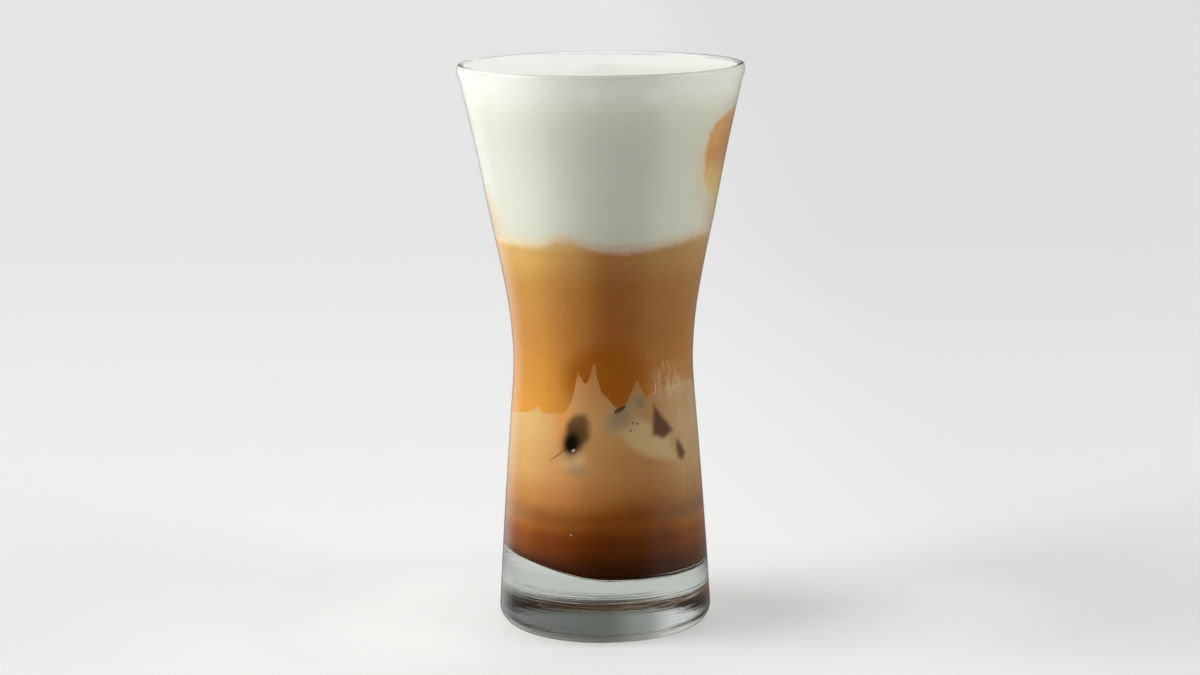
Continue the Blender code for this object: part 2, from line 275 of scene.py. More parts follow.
class Workshop:
    """Modelling steps that the pieces share."""

    @staticmethod
    def deselect() -> None:
        """Leaves edit mode and lets go of everything."""
        if bpy.context.object and bpy.context.object.mode != "OBJECT":
            bpy.ops.object.mode_set(mode="OBJECT")
        bpy.ops.object.select_all(action="DESELECT")

    @classmethod
    def turn(cls, name: str, profile: Sequence[Point], steps: int) -> bpy.types.Object:
        """Turns a section by extruding a circle from point to point and closing both ends.

        Args:
            name: name of the new piece.
            profile: section as (radius, height), from pole to pole.
            steps: vertices round the axis.

        Returns:
            The turned piece, at the origin.
        """
        cls.deselect()
        pole = 1e-4
        points = [(max(radius, pole), height) for radius, height in profile]
        first_radius, first_height = points[0]
        bpy.ops.mesh.primitive_circle_add(vertices=steps, radius=first_radius, enter_editmode=True)
        bpy.ops.mesh.select_mode(type="VERT")
        bpy.ops.mesh.select_all(action="SELECT")
        bpy.ops.transform.translate(value=(0.0, 0.0, first_height))
        for (radius, height), (next_radius, next_height) in zip(points, points[1:]):
            rise = {"value": (0.0, 0.0, next_height - height)}
            bpy.ops.mesh.extrude_region_move(TRANSFORM_OT_translate=rise)
            grow = next_radius / radius
            bpy.ops.transform.resize(value=(grow, grow, 1.0), center_override=(0.0, 0.0, 0.0))
        bpy.ops.mesh.merge(type="CENTER")
        cls.select_where(lambda co: np.arange(len(co)) < steps)
        bpy.ops.mesh.merge(type="CENTER")
        bpy.ops.mesh.select_all(action="SELECT")
        bpy.ops.mesh.normals_make_consistent(inside=False)
        bpy.ops.object.mode_set(mode="OBJECT")
        piece = bpy.context.object
        piece.name = name
        piece.data.name = name
        bpy.ops.object.shade_smooth()
        return piece

    @classmethod
    def select_where(cls, test: Callable[[np.ndarray], np.ndarray]) -> None:
        """Selects the vertices whose coordinates pass a test, and stays in edit mode.

        Args:
            test: takes an array of coordinates and returns a mask.
        """
        bpy.ops.mesh.select_all(action="DESELECT")
        bpy.ops.object.mode_set(mode="OBJECT")
        data = bpy.context.object.data
        mask = test(cls.coordinates(data))
        data.vertices.foreach_set("select", mask)
        bpy.ops.object.mode_set(mode="EDIT")

    @staticmethod
    def coordinates(data: bpy.types.Mesh) -> np.ndarray:
        """Vertex coordinates as rows of x, y, z."""
        flat = np.empty(len(data.vertices) * 3)
        data.vertices.foreach_get("co", flat)
        return flat.reshape(-1, 3)

    @staticmethod
    def move_vertices(data: bpy.types.Mesh, coordinates: np.ndarray) -> None:
        """Moves the vertices to new coordinates."""
        data.vertices.foreach_set("co", coordinates.ravel())
        data.update()

    @staticmethod
    def note(data: bpy.types.Mesh, name: str, values: np.ndarray) -> None:
        """Keeps a number for each vertex, for the materials to read."""
        attribute = data.attributes.new(name, "FLOAT", "POINT")
        attribute.data.foreach_set("value", values.astype(np.float32))

    @staticmethod
    def place(piece: bpy.types.Object, slot: Slot, *nodes: str) -> None:
        """Rides a piece on the part and hides the nodes that it stands for."""
        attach(piece, BODY)
        if nodes:
            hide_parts(*nodes)
        log.info("%s: %d faces", piece.name, len(piece.data.polygons))


class Sheet:
    """A node tree under construction: adds nodes and joins them with short calls."""

    def __init__(self, tree: bpy.types.NodeTree) -> None:
        """Keeps the tree and clears it."""
        self.tree = tree
        tree.nodes.clear()

    def node(self, kind: str, **settings: object) -> bpy.types.Node:
        """Adds a node and sets its properties.

        Args:
            kind: Blender's name of the node type.
            **settings: properties to set.

        Returns:
            The new node.
        """
        made = self.tree.nodes.new(kind)
        for key, value in settings.items():
            setattr(made, key, value)
        return made

    def feed(self, socket: bpy.types.NodeSocket, value: object) -> None:
        """Joins an output to a socket, or sets the socket's own number or colour."""
        if isinstance(value, bpy.types.NodeSocket):
            self.tree.links.new(value, socket)
        elif isinstance(value, tuple) and len(value) == 3 and socket.type == "RGBA":
            socket.default_value = (*value, 1.0)
        else:
            socket.default_value = value

    def math(self, operation: str, *values: object) -> bpy.types.NodeSocket:
        """A Math node's result."""
        made = self.node("ShaderNodeMath", operation=operation)
        for socket, value in zip(made.inputs, values):
            self.feed(socket, value)
        return made.outputs[0]

    def ease(self, value: object, low: object, high: object) -> bpy.types.NodeSocket:
        """0 at low, 1 at high and a smooth step between."""
        made = self.node("ShaderNodeMapRange", interpolation_type="SMOOTHSTEP")
        self.feed(made.inputs["Value"], value)
        self.feed(made.inputs["From Min"], low)
        self.feed(made.inputs["From Max"], high)
        return made.outputs["Result"]

    def mix(self, share: object, under: object, over: object, blend: str = "MIX") -> bpy.types.NodeSocket:
        """Lays one colour over another.

        Args:
            share: how much of the upper colour shows.
            under: colour or socket below.
            over: colour or socket above.
            blend: blend mode.

        Returns:
            The mixed colour's socket.
        """
        made = self.node("ShaderNodeMix", data_type="RGBA", blend_type=blend)
        self.feed(made.inputs[0], share)
        self.feed(made.inputs[6], under)
        self.feed(made.inputs[7], over)
        return made.outputs[2]

    def ramp(self, value: object, stops: Stops) -> bpy.types.NodeSocket:
        """A colour ramp with its stops at the given values, from 0 to 1."""
        made = self.node("ShaderNodeValToRGB")
        ramp = made.color_ramp
        ramp.interpolation = "EASE"
        while len(ramp.elements) < len(stops):
            ramp.elements.new(0.5)
        # Moving a stop can reorder the others, so they are all placed before they are coloured
        for element, (at, _) in zip(ramp.elements, stops):
            element.position = at
        for element, (at, colour) in zip(ramp.elements, stops):
            element.position = at
            element.color = (*colour, 1.0)
        self.feed(made.inputs[0], value)
        return made.outputs[0]

    def noise(
        self, vector: object, scale: float, detail: float = 3.0, rough: float = 0.5
    ) -> bpy.types.NodeSocket:
        """A noise pattern's value.

        Args:
            vector: coordinates that the pattern lies in.
            scale: how fine it is, in repeats to the unit.
            detail: layers of finer noise.
            rough: weight of the finer layers.

        Returns:
            The value, from 0 to 1.
        """
        made = self.node("ShaderNodeTexNoise")
        self.feed(made.inputs["Vector"], vector)
        made.inputs["Scale"].default_value = scale
        made.inputs["Detail"].default_value = detail
        made.inputs["Roughness"].default_value = rough
        return made.outputs["Fac"]

    def group(self, tree: bpy.types.NodeTree, **values: object) -> bpy.types.Node:
        """Places a node group and feeds its inputs, named with underscores for spaces."""
        made = self.node("ShaderNodeGroup", node_tree=tree)
        for key, value in values.items():
            self.feed(made.inputs[key.replace("_", " ")], value)
        return made

    def combine(self, x: object, y: object, z: object) -> bpy.types.NodeSocket:
        """A vector made of three numbers."""
        made = self.node("ShaderNodeCombineXYZ")
        for socket, value in zip(made.inputs, (x, y, z)):
            self.feed(socket, value)
        return made.outputs[0]

    def attribute(self, name: str) -> bpy.types.NodeSocket:
        """A vertex number that the piece keeps."""
        return self.node("ShaderNodeAttribute", attribute_name=name).outputs["Fac"]

    def place(self) -> bpy.types.NodeSocket:
        """The piece's own coordinates."""
        return self.node("ShaderNodeTexCoord").outputs["Object"]


class Groups:
    """Shader node groups that several finishes use, each built once."""

    built: dict[str, bpy.types.NodeTree] = {}

    @classmethod
    def begin(
        cls, name: str, inputs: Sequence[tuple[str, str]], outputs: Sequence[str]
    ) -> tuple[Sheet, bpy.types.Node, bpy.types.Node]:
        """Starts a group with its sockets.

        Args:
            name: name of the group.
            inputs: names and socket types of what goes in.
            outputs: names of the numbers that come out.

        Returns:
            The sheet, the group's input node and its output node.
        """
        tree = bpy.data.node_groups.new(name, "ShaderNodeTree")
        for title, kind in inputs:
            tree.interface.new_socket(title, in_out="INPUT", socket_type=kind)
        for title in outputs:
            tree.interface.new_socket(title, in_out="OUTPUT", socket_type="NodeSocketFloat")
        cls.built[name] = tree
        sheet = Sheet(tree)
        return sheet, sheet.node("NodeGroupInput"), sheet.node("NodeGroupOutput")

    @classmethod
    def wall_place(cls) -> bpy.types.NodeTree:
        """Turns coordinates into an azimuth in degrees and a height in millimetres."""
        if "wall place" in cls.built:
            return cls.built["wall place"]
        sheet, into, out = cls.begin(
            "wall place", [("Place", "NodeSocketVector")], ["Azimuth", "Height"]
        )
        split = sheet.node("ShaderNodeSeparateXYZ")
        sheet.feed(split.inputs[0], into.outputs["Place"])
        back = sheet.math("MULTIPLY", split.outputs["Y"], -1.0)
        angle = sheet.math("ARCTAN2", split.outputs["X"], back)
        sheet.feed(out.inputs["Azimuth"], sheet.math("DEGREES", angle))
        level = sheet.math("SUBTRACT", sheet.math("MULTIPLY", split.outputs["Z"], 1000.0), HEEL_LEVEL)
        sheet.feed(out.inputs["Height"], level)
        return cls.built["wall place"]

    @classmethod
    def spot(cls) -> bpy.types.NodeTree:
        """A soft leaning oval on the wall: 1 inside and 0 outside."""
        if "spot" in cls.built:
            return cls.built["spot"]
        names = ["Azimuth", "Height", "At", "Level", "Half Width", "Half Height", "Lean", "Softness"]
        sheet, into, out = cls.begin("spot", [(name, "NodeSocketFloat") for name in names], ["Mask"])
        get = into.outputs
        up = sheet.math("SUBTRACT", get["Height"], get["Level"])
        aside = sheet.math("SUBTRACT", get["Azimuth"], get["At"])
        aside = sheet.math("SUBTRACT", aside, sheet.math("MULTIPLY", up, get["Lean"]))
        across = sheet.math("DIVIDE", aside, get["Half Width"])
        along = sheet.math("DIVIDE", up, get["Half Height"])
        square = sheet.math("ADD", sheet.math("POWER", across, 2.0), sheet.math("POWER", along, 2.0))
        reach = sheet.math("SQRT", square)
        outer = sheet.math("ADD", 1.0, get["Softness"])
        inner = sheet.math("SUBTRACT", 1.0, get["Softness"])
        sheet.feed(out.inputs["Mask"], sheet.ease(reach, outer, inner))
        return cls.built["spot"]

    @classmethod
    def ribbon(cls) -> bpy.types.NodeTree:
        """A soft curved band along the wall, thin at both ends: 1 on its middle line."""
        if "ribbon" in cls.built:
            return cls.built["ribbon"]
        names = ["Azimuth", "Height", "Start", "End", "From Level", "To Level", "Bend", "Half Height"]
        sheet, into, out = cls.begin("ribbon", [(name, "NodeSocketFloat") for name in names], ["Mask"])
        get = into.outputs
        run = sheet.math("SUBTRACT", get["End"], get["Start"])
        share = sheet.math("DIVIDE", sheet.math("SUBTRACT", get["Azimuth"], get["Start"]), run)
        held = sheet.math("MINIMUM", sheet.math("MAXIMUM", share, 0.0), 1.0)
        hump = sheet.math("MULTIPLY", held, sheet.math("SUBTRACT", 1.0, held))
        climb = sheet.math("MULTIPLY", held, sheet.math("SUBTRACT", get["To Level"], get["From Level"]))
        arch = sheet.math("MULTIPLY", hump, 4.0)
        bend = sheet.math("MULTIPLY", arch, get["Bend"])
        line = sheet.math("ADD", sheet.math("ADD", get["From Level"], climb), bend)
        off = sheet.math("ABSOLUTE", sheet.math("SUBTRACT", get["Height"], line))
        taper = sheet.math("MULTIPLY", sheet.math("SQRT", arch), get["Half Height"])
        reach = sheet.math("MAXIMUM", taper, 0.001)
        sheet.feed(out.inputs["Mask"], sheet.ease(off, reach, 0.0))
        return cls.built["ribbon"]

    @classmethod
    def streaks(cls) -> bpy.types.NodeTree:
        """Fine upright streaks, as liquid leaves on glass, from 0 to 1."""
        if "streaks" in cls.built:
            return cls.built["streaks"]
        names = ["Azimuth", "Height", "Fineness", "Length"]
        sheet, into, out = cls.begin("streaks", [(name, "NodeSocketFloat") for name in names], ["Value"])
        get = into.outputs
        turn = sheet.math("RADIANS", get["Azimuth"])
        east = sheet.math("MULTIPLY", sheet.math("SINE", turn), get["Fineness"])
        north = sheet.math("MULTIPLY", sheet.math("COSINE", turn), get["Fineness"])
        up = sheet.math("DIVIDE", get["Height"], get["Length"])
        sheet.feed(out.inputs["Value"], sheet.noise(sheet.combine(east, north, up), 1.0, 3.0, 0.6))
        return cls.built["streaks"]

    @classmethod
    def side(cls) -> bpy.types.NodeTree:
        """Distance of a place on the wall from one straight side, in mm."""
        if "side" in cls.built:
            return cls.built["side"]
        names = ["Azimuth", "Height", "Across", "Along", "Offset"]
        sheet, into, out = cls.begin("side", [(name, "NodeSocketFloat") for name in names], ["Distance"])
        get = into.outputs
        across = sheet.math("MULTIPLY", get["Azimuth"], get["Across"])
        along = sheet.math("MULTIPLY", get["Height"], get["Along"])
        total = sheet.math("ADD", sheet.math("ADD", across, along), get["Offset"])
        sheet.feed(out.inputs["Distance"], total)
        return cls.built["side"]


@dataclass(frozen=True)
class Spot:
    """A soft oval patch of colour on the wall, in degrees and millimetres."""

    at: float
    level: float
    half_width: float
    half_height: float
    colour: Colour
    strength: float = 1.0
    lean: float = 0.0
    softness: float = 0.4


@dataclass(frozen=True)
class Ribbon:
    """A soft curved band of colour on the wall, in degrees and millimetres."""

    start: float
    end: float
    from_level: float
    to_level: float
    bend: float
    half_height: float
    colour: Colour
    strength: float = 1.0


@dataclass(frozen=True)
class Facet:
    """A flat-sided patch of colour on the wall, its corners anticlockwise as (azimuth, height)."""

    corners: tuple[Point, ...]
    colour: Colour
    strength: float = 1.0
    softness: float = 0.5
    mm_per_degree: float = 0.42

    def edges(self) -> list[tuple[float, float, float]]:
        """Each side as across, along and offset: their sum is the distance inside it, in mm."""
        sides = []
        for (x, y), (next_x, next_y) in zip(self.corners, self.corners[1:] + self.corners[:1]):
            run = (next_x - x) * self.mm_per_degree
            rise = next_y - y
            length = math.hypot(run, rise)
            across = -rise * self.mm_per_degree / length
            along = run / length
            sides.append((across, along, -(across * x + along * y)))
        return sides


@dataclass(frozen=True)
class Veil:
    """Upright streaks of colour inside a soft oval on the wall."""

    oval: Spot
    fineness: float = 60.0
    length: float = 7.0
    low: float = 0.45
    high: float = 0.7


@dataclass(frozen=True)
class WallPoint:
    """Sockets that say where on the drink a material is being worked out."""

    place: bpy.types.NodeSocket
    azimuth: bpy.types.NodeSocket
    height: bpy.types.NodeSocket
    turn: bpy.types.NodeSocket

    @classmethod
    def find(cls, sheet: Sheet) -> "WallPoint":
        """Works out the azimuth, the height and the share of a full turn on a sheet."""
        place = sheet.place()
        found = sheet.group(Groups.wall_place(), Place=place)
        azimuth = found.outputs["Azimuth"]
        turn = sheet.math("ADD", sheet.math("DIVIDE", azimuth, 360.0), 0.5)
        return cls(place, azimuth, found.outputs["Height"], turn)


@dataclass(frozen=True)
class LiquidFinish:
    """Coffee or foam seen through the wall: colour by height, tinted round the glass, for the most part with
    painted light and shade.
    """

    name: str
    low: float
    high: float
    by_height: Stops
    by_azimuth: Stops
    mottle: float = 0.05
    mottle_scale: float = 180.0
    streak: float = 0.0
    grain: float = 0.0
    roughness: float = 0.5
    specular: float = 0.0
    bump: float = 0.0
    bump_scale: float = 2500.0
    top_tint: tuple[Stops, float] | None = None
    bottom_tint: tuple[Stops, float] | None = None
    underside: Colour | None = None
    marks: tuple[Spot | Ribbon | Facet | Veil, ...] = ()
    fade: Colour | None = None
    warp: float = 1.0
    drift: float = 0.06
    stir: float = 0.9
    most_stir_mm: float = 2.5
    underside_starts_mm: float = -1.0
    underside_full_mm: float = -2.2

    def build(self) -> bpy.types.Material:
        """Makes the material.

        Returns:
            The finished material.
        """
        material = bpy.data.materials.new(self.name)
        material.use_nodes = True
        sheet = Sheet(material.node_tree)
        at = WallPoint.find(sheet)
        share = sheet.math("DIVIDE", sheet.math("SUBTRACT", at.height, self.low), self.high - self.low)
        cloud = sheet.math("SUBTRACT", sheet.noise(at.place, 60.0, 3.0), 0.5)
        share = sheet.math("ADD", share, sheet.math("MULTIPLY", cloud, self.drift * self.warp))
        colour = sheet.ramp(share, self.by_height)
        # Painted light and shade: the tint round the glass multiplies the colour
        colour = sheet.mix(1.0, colour, sheet.ramp(at.turn, self.by_azimuth), "MULTIPLY")
        colour = self.tint_edges(sheet, colour, at)
        colour = self.paint_marks(sheet, colour, at)
        colour = self.break_up(sheet, colour, at)
        if self.fade:
            thin = sheet.math("SUBTRACT", self.streaks(sheet, at, 70.0, 5.0), 0.35)
            cover = sheet.ease(sheet.math("ADD", sheet.attribute("edge"), thin), 0.0, 0.9)
            colour = sheet.mix(cover, self.fade, colour)
        self.shade(sheet, colour, at)
        return material

    @staticmethod
    def streaks(sheet: Sheet, at: WallPoint, fineness: float, length: float) -> bpy.types.NodeSocket:
        """Upright streaks at the place being worked out, from 0 to 1."""
        made = sheet.group(
            Groups.streaks(), Azimuth=at.azimuth, Height=at.height, Fineness=fineness, Length=length
        )
        return made.outputs["Value"]

    def tint_edges(self, sheet: Sheet, colour: bpy.types.NodeSocket, at: WallPoint) -> bpy.types.NodeSocket:
        """Blends the colour into the layers above and below, along fine upright streaks.

        Args:
            sheet: the material's sheet.
            colour: the colour so far.
            at: the place being worked out.

        Returns:
            The tinted colour.
        """
        both = sheet.math("ADD", self.streaks(sheet, at, 95.0, 3.0), sheet.noise(at.place, 500.0, 4.0))
        wobble = sheet.math("MULTIPLY", sheet.math("SUBTRACT", both, 1.0), self.stir)
        for tint, name in ((self.top_tint, "drop_mm"), (self.bottom_tint, "rise_mm")):
            if tint:
                stops, reach = tint
                held = min(reach, self.most_stir_mm)
                away = sheet.math("ADD", sheet.attribute(name), sheet.math("MULTIPLY", wobble, held))
                cover = sheet.ease(away, reach, -0.15 * reach)
                colour = sheet.mix(cover, colour, sheet.ramp(at.turn, stops))
        # Painted light: the underside turns paler, for light that comes up through the base
        if self.underside:
            rise = sheet.attribute("rise_mm")
            under = sheet.ease(rise, self.underside_starts_mm, self.underside_full_mm)
            colour = sheet.mix(under, colour, self.underside)
        return colour

    def paint_marks(self, sheet: Sheet, colour: bpy.types.NodeSocket, at: WallPoint) -> bpy.types.NodeSocket:
        """Lays the soft patches and bands on, their edges stirred by noise.

        Args:
            sheet: the material's sheet.
            colour: the colour so far.
            at: the place being worked out.

        Returns:
            The marked colour.
        """
        if not self.marks:
            return colour
        aside = sheet.math("MULTIPLY", sheet.math("SUBTRACT", sheet.noise(at.place, 420.0, 3.0), 0.5), 5.0)
        up = sheet.math("MULTIPLY", sheet.math("SUBTRACT", sheet.noise(at.place, 460.0, 3.0), 0.5), 2.2)
        azimuth = sheet.math("ADD", at.azimuth, sheet.math("MULTIPLY", aside, self.warp))
        height = sheet.math("ADD", at.height, sheet.math("MULTIPLY", up, self.warp))
        stirred = WallPoint(at.place, azimuth, height, at.turn)
        for mark in self.marks:
            spot = mark.oval if isinstance(mark, Veil) else mark
            mask = self.mask(sheet, mark, stirred)
            colour = sheet.mix(sheet.math("MULTIPLY", mask, spot.strength), colour, spot.colour)
        return colour

    def mask(self, sheet: Sheet, mark: Spot | Ribbon | Facet | Veil, at: WallPoint) -> bpy.types.NodeSocket:
        """Where a mark shows, from 0 to 1.

        Args:
            sheet: the material's sheet.
            mark: the mark.
            at: the place being worked out.

        Returns:
            The mask.
        """
        known = {"Azimuth": at.azimuth, "Height": at.height}
        if isinstance(mark, Ribbon):
            made = sheet.group(
                Groups.ribbon(), **known, Start=mark.start, End=mark.end, From_Level=mark.from_level,
                To_Level=mark.to_level, Bend=mark.bend, Half_Height=mark.half_height,
            )
            return made.outputs["Mask"]
        if isinstance(mark, Facet):
            inside: object = 1000.0
            for across, along, offset in mark.edges():
                side = sheet.group(Groups.side(), **known, Across=across, Along=along, Offset=offset)
                inside = sheet.math("SMOOTH_MIN", inside, side.outputs["Distance"], 0.8)
            return sheet.ease(inside, -mark.softness, mark.softness)
        spot = mark.oval if isinstance(mark, Veil) else mark
        made = sheet.group(
            Groups.spot(), **known, At=spot.at, Level=spot.level, Half_Width=spot.half_width,
            Half_Height=spot.half_height, Lean=spot.lean, Softness=spot.softness,
        )
        if isinstance(mark, Spot):
            return made.outputs["Mask"]
        thin = sheet.ease(self.streaks(sheet, at, mark.fineness, mark.length), mark.low, mark.high)
        return sheet.math("MULTIPLY", made.outputs["Mask"], thin)

    def break_up(self, sheet: Sheet, colour: bpy.types.NodeSocket, at: WallPoint) -> bpy.types.NodeSocket:
        """Mottles the colour and draws the upright streaks and the fine grain.

        Args:
            sheet: the material's sheet.
            colour: the colour so far.
            at: the place being worked out.

        Returns:
            The uneven colour.
        """
        cloud = sheet.math("SUBTRACT", sheet.noise(at.place, self.mottle_scale, 5.0, 0.6), 0.5)
        gain = sheet.math("MULTIPLY", cloud, 2.0 * self.mottle)
        for amount, fineness, length in ((self.streak, 38.0, 9.0), (self.grain, 60.0, 2.5)):
            if amount:
                value = sheet.math("SUBTRACT", self.streaks(sheet, at, fineness, length), 0.5)
                gain = sheet.math("ADD", gain, sheet.math("MULTIPLY", value, 2.0 * amount))
        factor = sheet.math("ADD", gain, 1.0)
        bright = sheet.combine(factor, factor, factor)
        return sheet.mix(1.0, colour, bright, "MULTIPLY")

    def shade(self, sheet: Sheet, colour: bpy.types.NodeSocket, at: WallPoint) -> None:
        """Ends the material in a Principled shader, with its bump.

        Args:
            sheet: the material's sheet.
            colour: the finished colour.
            at: the place being worked out.
        """
        shader = sheet.node("ShaderNodeBsdfPrincipled")
        sheet.feed(shader.inputs["Base Color"], colour)
        shader.inputs["Specular IOR Level"].default_value = self.specular
        rough = sheet.math("MULTIPLY", sheet.noise(at.place, 300.0, 2.0), 0.2)
        sheet.feed(shader.inputs["Roughness"], sheet.math("ADD", rough, self.roughness - 0.1))
        if self.bump:
            bump = sheet.node("ShaderNodeBump")
            bump.inputs["Strength"].default_value = self.bump
            bump.inputs["Distance"].default_value = 0.0002
            sheet.feed(bump.inputs["Height"], sheet.noise(at.place, self.bump_scale, 4.0, 0.6))
            sheet.feed(shader.inputs["Normal"], bump.outputs["Normal"])
        out = sheet.node("ShaderNodeOutputMaterial")
        sheet.feed(out.inputs["Surface"], shader.outputs["BSDF"])


@dataclass(frozen=True)
class GlassFinish:
    """Clear pressed glass: faintly green, with slight waves, and ripples in its thick base."""

    name: str = "clear_glass"
    tint: Colour = (0.975, 0.985, 0.978)
    shade: Colour = (0.93, 0.94, 0.93)
    depth_colour: Colour = (0.53, 0.60, 0.545)
    depth: float = 8.0
    foot_tint: Colour = (0.885, 0.90, 0.885)
    foot_fades: Point = (0.0065, 0.0095)
    belt_tint: Colour = (0.735, 0.765, 0.735)
    belt_starts: Point = (0.0110, 0.0130)
    belt_fades: Point = (0.017, 0.024)
    ior: float = 1.5
    roughness: float = 0.0
    waviness: float = 0.03
    ripple: float = 0.20
    ripple_fades: Point = (0.016, 0.022)
    ripple_scales: tuple[tuple[str, float], ...] = (("X", 22.0), ("Y", 22.0), ("Z", 1100.0))

    def build(self) -> bpy.types.Material:
        """Makes the material, which lets lamps through so that the drink behind is lit.

        Returns:
            The finished material.
        """
        material = bpy.data.materials.new(self.name)
        material.use_nodes = True
        sheet = Sheet(material.node_tree)
        place = sheet.place()
        shader = sheet.node("ShaderNodeBsdfPrincipled")
        cords = sheet.noise(place, 55.0, 2.0, 0.4)
        deeper = tuple(value * 0.985 for value in self.tint)
        split = sheet.node("ShaderNodeSeparateXYZ")
        sheet.feed(split.inputs[0], place)
        up = split.outputs["Z"]
        foot = sheet.ease(up, *reversed(self.foot_fades))
        above_foot = sheet.ease(up, *self.belt_starts)
        below_drink = sheet.ease(up, *reversed(self.belt_fades))
        belt = sheet.math("MULTIPLY", above_foot, below_drink)
        tint = sheet.mix(foot, sheet.mix(cords, self.tint, deeper), self.foot_tint)
        tint = sheet.mix(belt, tint, self.belt_tint)
        sheet.feed(shader.inputs["Base Color"], tint)
        shader.inputs["Roughness"].default_value = self.roughness
        shader.inputs["IOR"].default_value = self.ior
        shader.inputs["Transmission Weight"].default_value = 1.0
        bump = sheet.node("ShaderNodeBump")
        bump.inputs["Strength"].default_value = self.waviness
        bump.inputs["Distance"].default_value = 0.001
        sheet.feed(bump.inputs["Height"], sheet.noise(place, 160.0, 1.0, 0.4))
        sheet.feed(shader.inputs["Normal"], self.ripples(sheet, place, bump.outputs["Normal"]))
        clear = sheet.node("ShaderNodeBsdfTransparent")
        clear.inputs["Color"].default_value = (*self.shade, 1.0)
        path = sheet.node("ShaderNodeLightPath")
        mixer = sheet.node("ShaderNodeMixShader")
        sheet.feed(mixer.inputs[0], path.outputs["Is Shadow Ray"])
        sheet.feed(mixer.inputs[1], shader.outputs["BSDF"])
        sheet.feed(mixer.inputs[2], clear.outputs["BSDF"])
        thick = sheet.node("ShaderNodeVolumeAbsorption")
        thick.inputs["Color"].default_value = (*self.depth_colour, 1.0)
        thick.inputs["Density"].default_value = self.depth
        out = sheet.node("ShaderNodeOutputMaterial")
        sheet.feed(out.inputs["Surface"], mixer.outputs["Shader"])
        sheet.feed(out.inputs["Volume"], thick.outputs["Volume"])
        return material

    def ripples(
        self, sheet: Sheet, place: bpy.types.NodeSocket, normal: bpy.types.NodeSocket
    ) -> bpy.types.NodeSocket:
        """Level ripples that the mould left round the base, gone above the floor.

        Args:
            sheet: the material's sheet.
            place: the glass's coordinates.
            normal: the normal so far.

        Returns:
            The rippled normal.
        """
        split = sheet.node("ShaderNodeSeparateXYZ")
        sheet.feed(split.inputs[0], place)
        east, north, up = (
            sheet.math("MULTIPLY", split.outputs[axis], scale) for axis, scale in self.ripple_scales
        )
        lines = sheet.noise(sheet.combine(east, north, up), 1.0, 4.0, 0.6)
        low = sheet.ease(split.outputs["Z"], *reversed(self.ripple_fades))
        bump = sheet.node("ShaderNodeBump")
        bump.inputs["Strength"].default_value = self.ripple
        bump.inputs["Distance"].default_value = 0.0006
        sheet.feed(bump.inputs["Height"], sheet.math("MULTIPLY", lines, low))
        sheet.feed(bump.inputs["Normal"], normal)
        return bump.outputs["Normal"]


